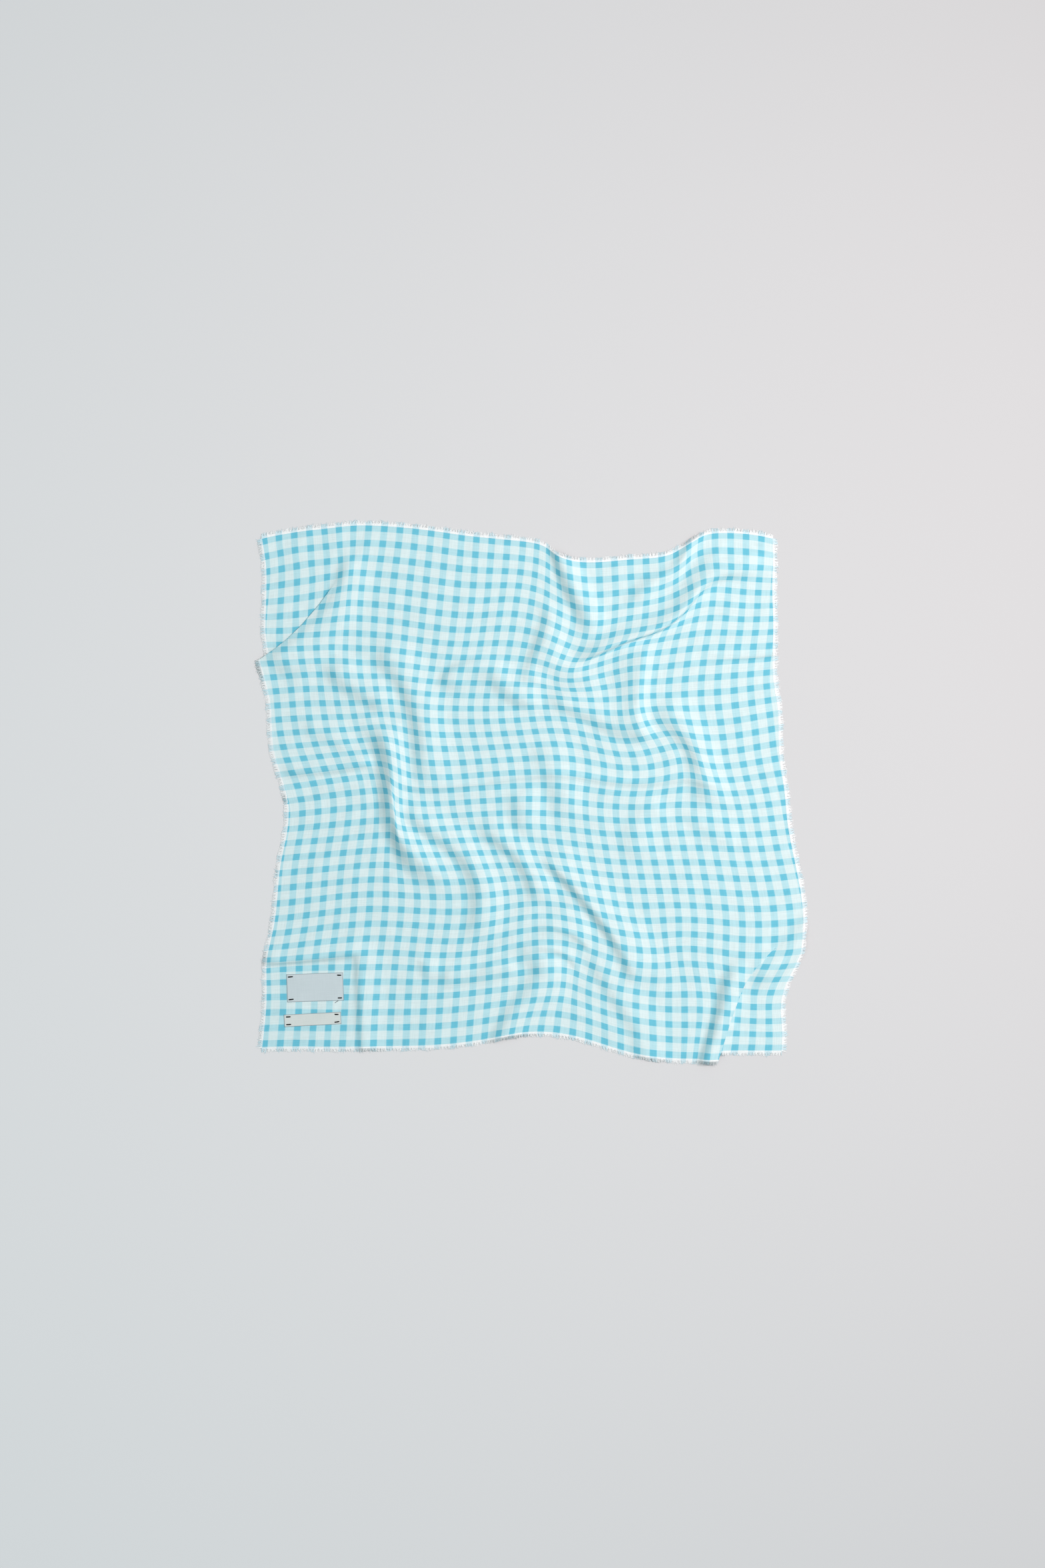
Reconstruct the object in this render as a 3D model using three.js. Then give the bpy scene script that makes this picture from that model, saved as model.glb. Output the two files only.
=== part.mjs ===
// A square gingham scarf of thin cotton with a short frayed edge and two sewn labels, laid open
// on a flat surface and softly rumpled.
// Millimetres, +Z up. The origin is the bottom centre of the box around the scarf. +X runs to the
// right and +Y away from the labelled hem, as the scarf is seen from straight above.
// A place in the flat cloth is given in checks: its column, counted from the left, and its row,
// counted down from the top hem. Whole numbers are the middles of the dark squares.

import * as THREE from "three";

// Driving dimensions of the flat cloth
const CHECK_ACROSS = 19.7; // from one column of dark squares to the next
const CHECK_DOWN = 19.1; // from one row of dark squares to the next
const TOP = -0.35; // the row that the top hem is cut along
const BOTTOM = 36.45; // and the bottom hem
const CLOTH_THICK = 1.2;

// Driving dimensions of the frayed edge and the labels
const EDGE_GAP = 0.3; // between the cloth and the threads that fray from its edge
const FRAY_ROOT = 1.3; // the strip that the locks of thread grow from
const FRAY_LENGTH = 3; // the locks beyond it
const FRAY_LIFT = 0.15; // of a lock's tip above what it rests on
const CORNER_TRIM = 1.6; // the strips stop this short of the cloth's corners
const LABEL_THICK = 0.8;
const LABEL_GAP = 0.3; // between a label and the cloth that it is sewn to

// The side hems wander a little off the weave: the columns that they are cut at, by row.
const SIDE_CUTS = [
  { row: -0.35, left: -0.33, right: 34.9 },
  { row: 5, left: -0.3, right: 35.3 },
  { row: 8.8, left: 0.05, right: 35.4 },
  { row: 12, left: 0.35, right: 35.7 },
  { row: 17, left: -0.1, right: 35.35 },
  { row: 21, left: -0.33, right: 35.3 },
  { row: 25, left: -0.3, right: 35.25 },
  { row: 28, left: -0.3, right: 34.95 },
  { row: 36.45, left: -0.35, right: 34.95 },
];

// Ridges and creases. The path is the crest, in columns and rows, walked so that the steep flank
// is on the right-hand side. The rest is in millimetres of cloth: the height, the two flanks'
// widths, how far the ridge takes to grow and to fade, and how far its crest leans over the steep
// flank. Sharp runs from 0, a round crest, to 1, a peaked one.
const RIDGES = [
  { name: "flap swell", path: [[6.2, 0.4], [5.2, 3.4], [4.2, 5.6], [2.6, 7.6], [0.2, 9.2]],
    height: 3, gentle: 60, steep: 16, sharp: 0, grows: 50, fades: 0, lean: 0 },
  { name: "row 9, left", path: [[0.2, 9.4], [3.5, 9.2], [8, 9]],
    height: 3, gentle: 30, steep: 14, sharp: 0.5, grows: 0, fades: 60, lean: 0 },
  { name: "left shoulder", path: [[4.4, 8.6], [5.8, 10.3], [7.4, 11.3], [8.8, 12.1], [9.1, 13.4]],
    height: 9, gentle: 45, steep: 24, sharp: 0.1, grows: 40, fades: 25, lean: 0 },
  { name: "second ridge",
    path: [[8.8, 7.6], [10.1, 9.6], [11.2, 11.3], [11.9, 13], [12.1, 15.2], [12, 17.6]],
    height: 12, gentle: 60, steep: 24, sharp: 0.1, grows: 40, fades: 50, lean: 2 },
  { name: "main ridge",
    path: [[7.3, 13.4], [8.1, 15.4], [8.5, 17.2], [8.2, 19], [8.3, 20.6], [9.4, 22.3],
      [10.8, 24], [12.4, 25.8]],
    height: 20, gentle: 50, steep: 36, sharp: 0.15, grows: 40, fades: 60, lean: -3 },
  { name: "row 17, left", path: [[0.4, 16.9], [3.5, 17.1], [6.6, 16.9]],
    height: 8, gentle: 18, steep: 18, sharp: 0.4, grows: 40, fades: 0, lean: 0 },
  { name: "row 18, middle", path: [[10, 17.8], [14, 17.6], [18.5, 17.3]],
    height: 3, gentle: 40, steep: 12, sharp: 0.4, grows: 30, fades: 30, lean: 0 },
  { name: "third ridge", path: [[10.6, 19.3], [12.2, 21.2], [13.7, 23], [14.2, 25], [13.8, 28.6]],
    height: 9, gentle: 45, steep: 24, sharp: 0.1, grows: 40, fades: 50, lean: 0 },
  { name: "lower knuckle", path: [[14.9, 21.3], [16.8, 22.5], [17.7, 24.3], [18.1, 26.8]],
    height: 10, gentle: 40, steep: 22, sharp: 0.1, grows: 30, fades: 40, lean: 0 },
  { name: "upper knuckle", path: [[17.9, 18.6], [18.4, 22]],
    height: 5, gentle: 40, steep: 25, sharp: 0, grows: 30, fades: 30, lean: 0 },
  { name: "centre dent", path: [[19.2, 15.2], [20.3, 18.8]],
    height: 5, gentle: 45, steep: 24, sharp: 0, grows: 35, fades: 35, lean: 0 },
  { name: "diagonal ridge", path: [[17.4, 22], [19.6, 23.6], [21.6, 25.6], [23.4, 28], [24.9, 31.2]],
    height: 15, gentle: 70, steep: 28, sharp: 0.3, grows: 40, fades: 50, lean: 2 },
  { name: "top ridge", path: [[18.9, -0.6], [19.8, 1.2], [20.8, 3.2], [21.8, 5.2]],
    height: 15, gentle: 26, steep: 26, sharp: 0.1, grows: 0, fades: 40, lean: 0 },
  { name: "long fold",
    path: [[34.6, 1.9], [31.6, 2.2], [29.6, 3.4], [28.2, 5], [26.2, 6], [23.4, 6.6], [21, 7.2]],
    height: 13, gentle: 26, steep: 36, sharp: 0.3, grows: 50, fades: 50, lean: -9 },
  { name: "twin fold", path: [[29.2, -0.5], [28.3, 1.5], [27, 3], [25.2, 4.2]],
    height: 10, gentle: 20, steep: 36, sharp: 0.3, grows: 0, fades: 50, lean: -4 },
  { name: "centre seam", path: [[18.6, 3.6], [18.8, 6.5], [19.4, 9.6]],
    height: 6, gentle: 30, steep: 20, sharp: 0.2, grows: 40, fades: 40, lean: 0 },
  { name: "arc crown", path: [[11.6, 9.8], [13.2, 8.2], [15.6, 7.4]],
    height: 5, gentle: 30, steep: 24, sharp: 0, grows: 30, fades: 30, lean: 0 },
  { name: "arc foot", path: [[15.4, 8.2], [16.4, 10.2], [17.8, 11.2], [19.9, 12]],
    height: 8, gentle: 50, steep: 22, sharp: 0.1, grows: 30, fades: 30, lean: 0 },
  { name: "centre wave", path: [[21, 11.4], [23, 12.3], [25.2, 13.2], [27.5, 13.6]],
    height: 6, gentle: 50, steep: 24, sharp: 0.1, grows: 30, fades: 30, lean: 0 },
  { name: "column 27", path: [[26.8, 7.2], [26.6, 10], [26.4, 12.9]],
    height: 6, gentle: 20, steep: 16, sharp: 0.2, grows: 30, fades: 20, lean: 0 },
  { name: "east ridge", path: [[28.2, 11.6], [29.2, 13.4], [29.7, 15.6], [30, 18.6]],
    height: 9, gentle: 34, steep: 34, sharp: 0.2, grows: 36, fades: 50, lean: 0 },
  { name: "row 9, right", path: [[28.5, 8.6], [32, 8.3], [35.8, 8.2]],
    height: 3, gentle: 24, steep: 14, sharp: 0.5, grows: 40, fades: 0, lean: 0 },
  { name: "above the labels", path: [[-0.6, 30.4], [5, 30.4], [8, 30.2]],
    height: 3, gentle: 30, steep: 14, sharp: 0.5, grows: 0, fades: 60, lean: 0 },
  { name: "hem rise", path: [[14.2, 37], [15.6, 34.6], [17.2, 32.4], [19, 31.4]],
    height: 9, gentle: 40, steep: 36, sharp: 0, grows: 0, fades: 40, lean: 0 },
  { name: "lower shoulder", path: [[14.4, 30.6], [16.8, 28.4], [19.6, 28.2], [21.6, 29.6], [23, 32]],
    height: 5, gentle: 26, steep: 40, sharp: 0.1, grows: 30, fades: 40, lean: 0 },
];

// The two corners where the cloth is tucked under itself in a flat pleat of three layers. A tuck
// opens at its apex and widens towards the hem; the corner lies on the given side of it.
const LAYER_REACH = 1.2; // half the distance between two layers' middles, and the fold's radius
const TUCKS = [
  { name: "right tuck", apex: [33.6, 28.2], hem: [29.6, 36.5], side: -1,
    width: 13, opens: 90, roll: 27, swell: 3.5 },
  { name: "left tuck", apex: [5.6, 1.4], hem: [0.1, 8.6], side: 1,
    width: 9, opens: 150, roll: 24, swell: 1 },
];

// Where the cloth lies: along a few rows of the weave, the place on the surface that a column
// comes to rest at, in millimetres from the middle of the scarf.
const SECTIONS = [
  { row: -0.35, column: [-0.33, 3, 6, 9, 12, 15, 18, 19.4, 21],
    x: [-344, -281, -225, -166, -107, -50, 7, 26, 46],
    y: [321, 333, 339, 337, 330, 323, 316, 306, 295] },
  { row: -0.35, column: [23, 25, 27, 28.3, 29.4, 31, 33, 34.9],
    x: [86, 124, 165, 188, 202, 233, 271, 309],
    y: [293, 296, 301, 306, 323, 328, 329, 321] },
  { row: 4, column: [-0.3, 3, 6, 12, 18, 22, 25, 28, 30, 32, 35.3],
    x: [-340, -277, -230, -115, 0, 70, 124, 181, 213, 249, 311],
    y: [242, 249, 259, 247, 241, 215, 221, 236, 254, 256, 253] },
  { row: 7, column: [-0.3, 1], x: [-336, -315], y: [188, 185] },
  { row: 9, column: [0.1, 3, 6, 12, 18, 24, 26, 27, 30, 35.4],
    x: [-346, -290, -235, -126, -16, 88, 125, 140, 197, 310],
    y: [165, 166, 166, 157, 153, 148, 157, 158, 163, 172] },
  { row: 11, column: [26, 27], x: [127, 137], y: [121, 121] },
  { row: 13, column: [0.33, 3, 6, 9, 12, 18, 22, 24, 26, 28, 30, 35.65],
    x: [-332, -281, -224, -176, -131, -18, 60, 98, 130, 162, 199, 316],
    y: [92, 95, 97, 99, 92, 92, 91, 84, 84, 91, 89, 102] },
  { row: 15, column: [26, 28, 30], x: [147, 181, 208], y: [51, 59, 54] },
  { row: 17.5, column: [-0.2, 3, 6, 12, 18, 24, 28, 30, 35.35],
    x: [-318, -258, -204, -122, -4, 110, 188, 220, 322],
    y: [15, 23, 29, 11, 18, 8, 13, 10, 16] },
  { row: 20, column: [-0.3], x: [-311], y: [-27] },
  { row: 22, column: [-0.33, 3, 6, 9, 12, 18, 24, 30, 35.3],
    x: [-316, -255, -197, -159, -107, -1, 113, 232, 333],
    y: [-64, -59, -54, -63, -61, -59, -70, -70, -67] },
  { row: 26, column: [-0.3, 6, 12, 18, 24, 30, 35.2],
    x: [-326, -204, -85, 19, 125, 245, 347],
    y: [-140, -128, -131, -124, -142, -145, -142] },
  { row: 28, column: [34.95], x: [346], y: [-180] },
  { row: 30.5, column: [-0.3, 6, 12, 18, 24, 28],
    x: [-336, -212, -93, 24, 136, 210],
    y: [-218, -211, -213, -197, -226, -226] },
  { row: 32, column: [32, 34.95], x: [263, 324], y: [-252, -252] },
  { row: 33, column: [-0.3, 6, 12, 18, 22, 27],
    x: [-340, -216, -95, 24, 91, 194],
    y: [-259, -258, -255, -242, -259, -274] },
  { row: 36.45, column: [-0.35, 3, 6, 9, 12, 15, 18, 21, 24, 27, 28.6, 31, 34.95],
    x: [-346, -278, -220, -159, -99, -42, 11, 72, 133, 193, 218, 237, 319],
    y: [-327, -326, -327, -324, -320, -310, -303, -316, -332, -338, -339, -327, -327] },
];

// The labels, sewn flat near the lower left-hand corner, by the columns and rows they cover
const LABELS = [
  { name: "label_large", left: 1.1, right: 4.72, top: 31.45, bottom: 33.3, color: 0xd0dee2 },
  { name: "label_small", left: 1.03, right: 4.68, top: 34.13, bottom: 34.95, color: 0xe2e5e1 },
];

// The frayed strips: the hem each one grows from, named as the finished meshes are
const HEMS = [
  { name: "fray_top", along: "column", end: "start" },
  { name: "fray_right", along: "row", end: "end" },
  { name: "fray_bottom", along: "column", end: "end" },
  { name: "fray_left", along: "row", end: "start" },
];

// How finely the cloth is worked out
const NET_SIZE = 47; // threads of the coarse net that finds the lie of the cloth, each way
const NET_MARGIN = 0.4; // the net reaches this many checks past the cut edges
const NET_PASSES = 300;
const GRID_CELLS = 47; // cells of the finished cloth, each way
const LABEL_CELLS = { across: 12, down: 6 };
const LANDMARK_REACH = 2.6; // checks around a landmark that follow it
const LANDMARK_PULL = 0.5;
const SLACK_STIFFNESS = 0.06; // a thread gives way when pushed, and holds when pulled
const BEND_STIFFNESS = 0.06;
const LEVEL_SNAP = 1.1; // grid points this close to a fold line of a tuck are moved onto it

const NET = {
  left: Math.min(...SIDE_CUTS.map((cut) => cut.left)) - NET_MARGIN,
  right: Math.max(...SIDE_CUTS.map((cut) => cut.right)) + NET_MARGIN,
  top: TOP - NET_MARGIN,
  bottom: BOTTOM + NET_MARGIN,
};

function easeBetween(share) {
  return THREE.MathUtils.smoothstep(share, 0, 1);
}

// A line drawn smoothly through its points, with a few short steps for each span.
function roundedPath(path, steps = 6) {
  const first = path[0];
  const last = path[path.length - 1];
  const before = [2 * first[0] - path[1][0], 2 * first[1] - path[1][1]];
  const after = [2 * last[0] - path.at(-2)[0], 2 * last[1] - path.at(-2)[1]];
  const knots = [before, ...path, after];
  const points = [];
  for (let k = 1; k < knots.length - 2; k++) {
    for (let step = 0; step < steps; step++) {
      points.push([0, 1].map((axis) => catmullRom(knots.slice(k - 1, k + 3), axis, step / steps)));
    }
  }
  points.push(last);
  return points;
}

function catmullRom(knots, axis, t) {
  const [a, b, c, d] = knots.map((knot) => knot[axis]);
  const square = (2 * a - 5 * b + 4 * c - d) * t * t;
  const cube = (3 * b - a - 3 * c + d) * t * t * t;
  return 0.5 * (2 * b + (c - a) * t + square + cube);
}

// A ridge's crest line, laid out in millimetres of flat cloth with the rows running down.
class Crest {
  constructor(ridge) {
    this.ridge = ridge;
    this.points = roundedPath(ridge.path).map(
      ([column, row]) => new THREE.Vector2(column * CHECK_ACROSS, row * CHECK_DOWN),
    );
    this.walked = [0];
    for (let k = 1; k < this.points.length; k++) {
      this.walked.push(this.walked[k - 1] + this.points[k].distanceTo(this.points[k - 1]));
    }
    this.length = this.walked.at(-1);
  }

  // How far a place is from the crest, positive on the steep side, and which way that side lies.
  measure(place) {
    let best = { distance: Infinity };
    for (let k = 1; k < this.points.length; k++) {
      const start = this.points[k - 1];
      const step = this.points[k].clone().sub(start);
      const offset = place.clone().sub(start);
      const share = THREE.MathUtils.clamp(offset.dot(step) / step.lengthSq(), 0, 1);
      const away = offset.clone().addScaledVector(step, -share);
      const distance = away.length();
      if (distance < best.distance - 1e-9) {
        const side = Math.sign(step.cross(offset)) || 1;
        const outward = distance > 0.5
          ? away.multiplyScalar(side / distance)
          : new THREE.Vector2(-step.y, step.x).normalize();
        best = { distance, side, outward, walked: this.walked[k - 1] + share * step.length() };
      }
    }
    return best;
  }

  // The ridge's share of the cloth's height at a place, and the sideways shift of its lean.
  liftAt(place) {
    const { height, gentle, steep, sharp, grows, fades, lean } = this.ridge;
    const { distance, side, outward, walked } = this.measure(place);
    const share = distance / (side < 0 ? gentle : steep);
    if (share >= 1) return { height: 0, shift: new THREE.Vector2() };
    const round = Math.cos((Math.PI / 2) * share) ** 2;
    const profile = (1 - sharp) * round + sharp * (1 - share) ** 2;
    const growth = grows > 0 ? easeBetween(walked / grows) : 1;
    const fade = fades > 0 ? easeBetween((this.length - walked) / fades) : 1;
    return {
      height: height * profile * growth * fade,
      shift: outward.multiplyScalar(lean * round * growth * fade),
    };
  }
}

// A flat pleat of three layers: maps a place of the unfolded cloth to where the pleat takes it.
class Tuck {
  constructor(tuck) {
    const { apex, hem, side } = tuck;
    this.tuck = tuck;
    this.apex = new THREE.Vector2(apex[0] * CHECK_ACROSS, apex[1] * CHECK_DOWN);
    this.line = new THREE.Vector2(hem[0] * CHECK_ACROSS, hem[1] * CHECK_DOWN).sub(this.apex);
    this.line.normalize();
    this.toCorner = new THREE.Vector2(-this.line.y * side, this.line.x * side);
    this.quarter = (Math.PI / 2) * LAYER_REACH; // of the turn of cloth round each fold line
  }

  // Millimetres from the pleat's first fold line towards the corner, and along it from the apex.
  measure(column, row) {
    const offset = new THREE.Vector2(column * CHECK_ACROSS, row * CHECK_DOWN).sub(this.apex);
    return { across: offset.dot(this.toCorner), down: offset.dot(this.line) };
  }

  widthAt(down) {
    return this.tuck.width * easeBetween(down / this.tuck.opens);
  }

  fold(column, row) {
    const { across, down } = this.measure(column, row);
    const { quarter } = this;
    const opened = easeBetween(this.widthAt(down) / (2 * quarter));
    const width = Math.max(this.widthAt(down), 2 * quarter);
    let folded = across - 2 * width;
    let height = 0;
    if (across < -quarter) {
      folded = across;
      height = this.rollAt((-across - quarter) / this.tuck.roll);
    } else if (across < quarter) {
      folded = LAYER_REACH * Math.cos(across / LAYER_REACH) - quarter;
      height = LAYER_REACH * (3 - Math.sin(across / LAYER_REACH));
    } else if (across < width - quarter) {
      folded = -across;
      height = 2 * LAYER_REACH;
    } else if (across < width + quarter) {
      folded = quarter - width - LAYER_REACH * Math.cos((across - width) / LAYER_REACH);
      height = LAYER_REACH * (1 - Math.sin((across - width) / LAYER_REACH));
    }
    const move = opened * (folded - across);
    return {
      column: column + (move * this.toCorner.x) / CHECK_ACROSS,
      row: row + (move * this.toCorner.y) / CHECK_DOWN,
      height: opened * height,
    };
  }

  // The top layer comes down from the pleat in a soft roll.
  rollAt(share) {
    const along = THREE.MathUtils.clamp(share, 0, 1);
    const crown = 4 * LAYER_REACH + this.tuck.swell * Math.sin(Math.PI * along);
    return crown * (1 - easeBetween((along - 0.35) / 0.65));
  }

  // The lines across the cloth where it starts and stops turning, each as a distance to a place.
  levels() {
    const { quarter } = this;
    const turns = [-quarter, 0, quarter];
    const first = turns.map((turn) => (at) => at.across - turn);
    const second = turns.map(
      (turn) => (at) => at.across - Math.max(this.widthAt(at.down), 2 * quarter) - turn,
    );
    return [...first, ...second];
  }
}

const CRESTS = RIDGES.map((ridge) => new Crest(ridge));
const PLEATS = TUCKS.map((tuck) => new Tuck(tuck));

function foldFlat(column, row) {
  let place = { column, row, height: 0 };
  for (const pleat of PLEATS) {
    const folded = pleat.fold(place.column, place.row);
    place = { ...folded, height: folded.height + place.height };
  }
  return place;
}

function ridgesAt(column, row) {
  const place = new THREE.Vector2(column * CHECK_ACROSS, row * CHECK_DOWN);
  const total = { height: 0, shift: new THREE.Vector2() };
  for (const crest of CRESTS) {
    const lift = crest.liftAt(place);
    total.height += lift.height;
    total.shift.add(lift.shift);
  }
  return total;
}

// The column that a side hem is cut at, drawn smoothly through the table.
function sideCut(row, side) {
  const last = SIDE_CUTS.length - 1;
  const found = SIDE_CUTS.findIndex((cut, k) => k < last && row <= SIDE_CUTS[k + 1].row);
  const k = found < 0 ? last - 1 : found;
  const slopeAt = (n) => {
    const a = SIDE_CUTS[Math.max(n - 1, 0)];
    const b = SIDE_CUTS[Math.min(n + 1, last)];
    return (b[side] - a[side]) / (b.row - a.row);
  };
  const from = SIDE_CUTS[k];
  const to = SIDE_CUTS[k + 1];
  const span = to.row - from.row;
  const t = (row - from.row) / span;
  const bend = t * (1 - t) * (1 - t) * slopeAt(k) - t * t * (1 - t) * slopeAt(k + 1);
  return THREE.MathUtils.lerp(from[side], to[side], t * t * (3 - 2 * t)) + bend * span;
}

// The net of warp and weft threads that finds where the cloth lies: the threads keep their
// length, the weave shears freely, and the landmarks draw the net to the places they rest at.
class Net {
  constructor() {
    this.landmarks = SECTIONS.flatMap(({ row, column, x, y }) =>
      column.map((c, k) => ({ ...foldFlat(c, row), x: x[k], y: y[k] })),
    );
    this.nodes = [];
    for (let i = 0; i < NET_SIZE; i++) {
      for (let j = 0; j < NET_SIZE; j++) this.nodes.push(this.startNode(i, j));
    }
    this.threads = this.makeThreads();
    for (let pass = 0; pass < NET_PASSES; pass++) this.relax();
  }

  at(i, j) {
    const clamp = (n) => Math.min(Math.max(n, 0), NET_SIZE - 1);
    return this.nodes[clamp(i) * NET_SIZE + clamp(j)];
  }

  // A node starts from an even net, moved as the landmarks around it are.
  startNode(i, j) {
    const column = THREE.MathUtils.lerp(NET.left, NET.right, i / (NET_SIZE - 1));
    const row = THREE.MathUtils.lerp(NET.top, NET.bottom, j / (NET_SIZE - 1));
    const even = (c, r) => ({
      x: (c - (NET.left + NET.right) / 2) * CHECK_ACROSS,
      y: ((NET.top + NET.bottom) / 2 - r) * CHECK_DOWN,
    });
    let weight = 0;
    const move = new THREE.Vector2();
    const pulls = this.landmarks.map((mark) => {
      const apart = (mark.column - column) ** 2 + (mark.row - row) ** 2;
      const share = 1 / (apart + 4) ** 1.5;
      const from = even(mark.column, mark.row);
      weight += share;
      move.x += share * (mark.x - from.x);
      move.y += share * (mark.y - from.y);
      return Math.exp(-apart / LANDMARK_REACH ** 2);
    });
    const total = Math.max(pulls.reduce((sum, pull) => sum + pull, 0), 1);
    const start = even(column, row);
    return {
      x: start.x + move.x / weight,
      y: start.y + move.y / weight,
      height: ridgesAt(column, row).height,
      pulls: pulls.map((pull, mark) => ({ mark, pull: pull / total })).filter((p) => p.pull > 1e-4),
    };
  }

  // A thread's length in plan is what its flat length leaves once it has climbed the ridges.
  makeThreads() {
    const across = ((NET.right - NET.left) * CHECK_ACROSS) / (NET_SIZE - 1);
    const down = ((NET.bottom - NET.top) * CHECK_DOWN) / (NET_SIZE - 1);
    const threads = [];
    const add = (a, b, flat) => {
      const climb = b.height - a.height;
      const plan = Math.sqrt(Math.max(flat * flat - climb * climb, (0.12 * flat) ** 2));
      threads.push({ a, b, plan });
    };
    for (const parity of [0, 1]) {
      for (let i = parity; i < NET_SIZE - 1; i += 2) {
        for (let j = 0; j < NET_SIZE; j++) add(this.at(i, j), this.at(i + 1, j), across);
      }
    }
    for (const parity of [0, 1]) {
      for (let j = parity; j < NET_SIZE - 1; j += 2) {
        for (let i = 0; i < NET_SIZE; i++) add(this.at(i, j), this.at(i, j + 1), down);
      }
    }
    return threads;
  }

  relax() {
    for (const { a, b, plan } of this.threads) {
      const length = Math.max(Math.hypot(b.x - a.x, b.y - a.y), 1e-6);
      const stiffness = length > plan ? 0.5 : SLACK_STIFFNESS;
      const share = (stiffness * (length - plan)) / length;
      const dx = share * (b.x - a.x);
      const dy = share * (b.y - a.y);
      a.x += dx;
      a.y += dy;
      b.x -= dx;
      b.y -= dy;
    }
    this.straighten("x");
    this.straighten("y");
    this.followLandmarks();
  }

  // The cloth resists bending in plan: each node moves a little towards its neighbours' middle.
  straighten(axis) {
    const moves = this.nodes.map((node, n) => {
      const i = Math.floor(n / NET_SIZE);
      const j = n % NET_SIZE;
      let move = 0;
      if (i > 0 && i < NET_SIZE - 1) {
        move += (this.at(i - 1, j)[axis] + this.at(i + 1, j)[axis]) / 2 - node[axis];
      }
      if (j > 0 && j < NET_SIZE - 1) {
        move += (this.at(i, j - 1)[axis] + this.at(i, j + 1)[axis]) / 2 - node[axis];
      }
      return move * BEND_STIFFNESS;
    });
    this.nodes.forEach((node, n) => {
      node[axis] += moves[n];
    });
  }

  followLandmarks() {
    const misses = this.landmarks.map((mark) => {
      const u = ((mark.column - NET.left) / (NET.right - NET.left)) * (NET_SIZE - 1);
      const v = ((mark.row - NET.top) / (NET.bottom - NET.top)) * (NET_SIZE - 1);
      const i = Math.floor(u);
      const j = Math.floor(v);
      const blend = (axis) =>
        THREE.MathUtils.lerp(
          THREE.MathUtils.lerp(this.at(i, j)[axis], this.at(i + 1, j)[axis], u - i),
          THREE.MathUtils.lerp(this.at(i, j + 1)[axis], this.at(i + 1, j + 1)[axis], u - i),
          v - j,
        );
      return { x: mark.x - blend("x"), y: mark.y - blend("y") };
    });
    for (const node of this.nodes) {
      for (const { mark, pull } of node.pulls) {
        node.x += LANDMARK_PULL * pull * misses[mark].x;
        node.y += LANDMARK_PULL * pull * misses[mark].y;
      }
    }
  }

  // The net's place for a column and row, drawn smoothly through the nodes around it.
  place(column, row, axis) {
    const u = ((column - NET.left) / (NET.right - NET.left)) * (NET_SIZE - 1);
    const v = ((row - NET.top) / (NET.bottom - NET.top)) * (NET_SIZE - 1);
    const i = THREE.MathUtils.clamp(Math.floor(u), 0, NET_SIZE - 2);
    const j = THREE.MathUtils.clamp(Math.floor(v), 0, NET_SIZE - 2);
    const lines = [-1, 0, 1, 2].map((down) => {
      const knots = [-1, 0, 1, 2].map((across) => [this.at(i + across, j + down)[axis]]);
      return [catmullRom(knots, 0, u - i)];
    });
    return catmullRom(lines, 0, v - j);
  }
}

const CLOTH_NET = new Net();

// The middle of the cloth's thickness for a column and row, above the surface it rests on.
function clothPoint(column, row) {
  const flat = foldFlat(column, row);
  const ridges = ridgesAt(flat.column, flat.row);
  return new THREE.Vector3(
    CLOTH_NET.place(flat.column, flat.row, "x") + ridges.shift.x,
    CLOTH_NET.place(flat.column, flat.row, "y") - ridges.shift.y,
    CLOTH_THICK / 2 + ridges.height + flat.height,
  );
}

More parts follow.
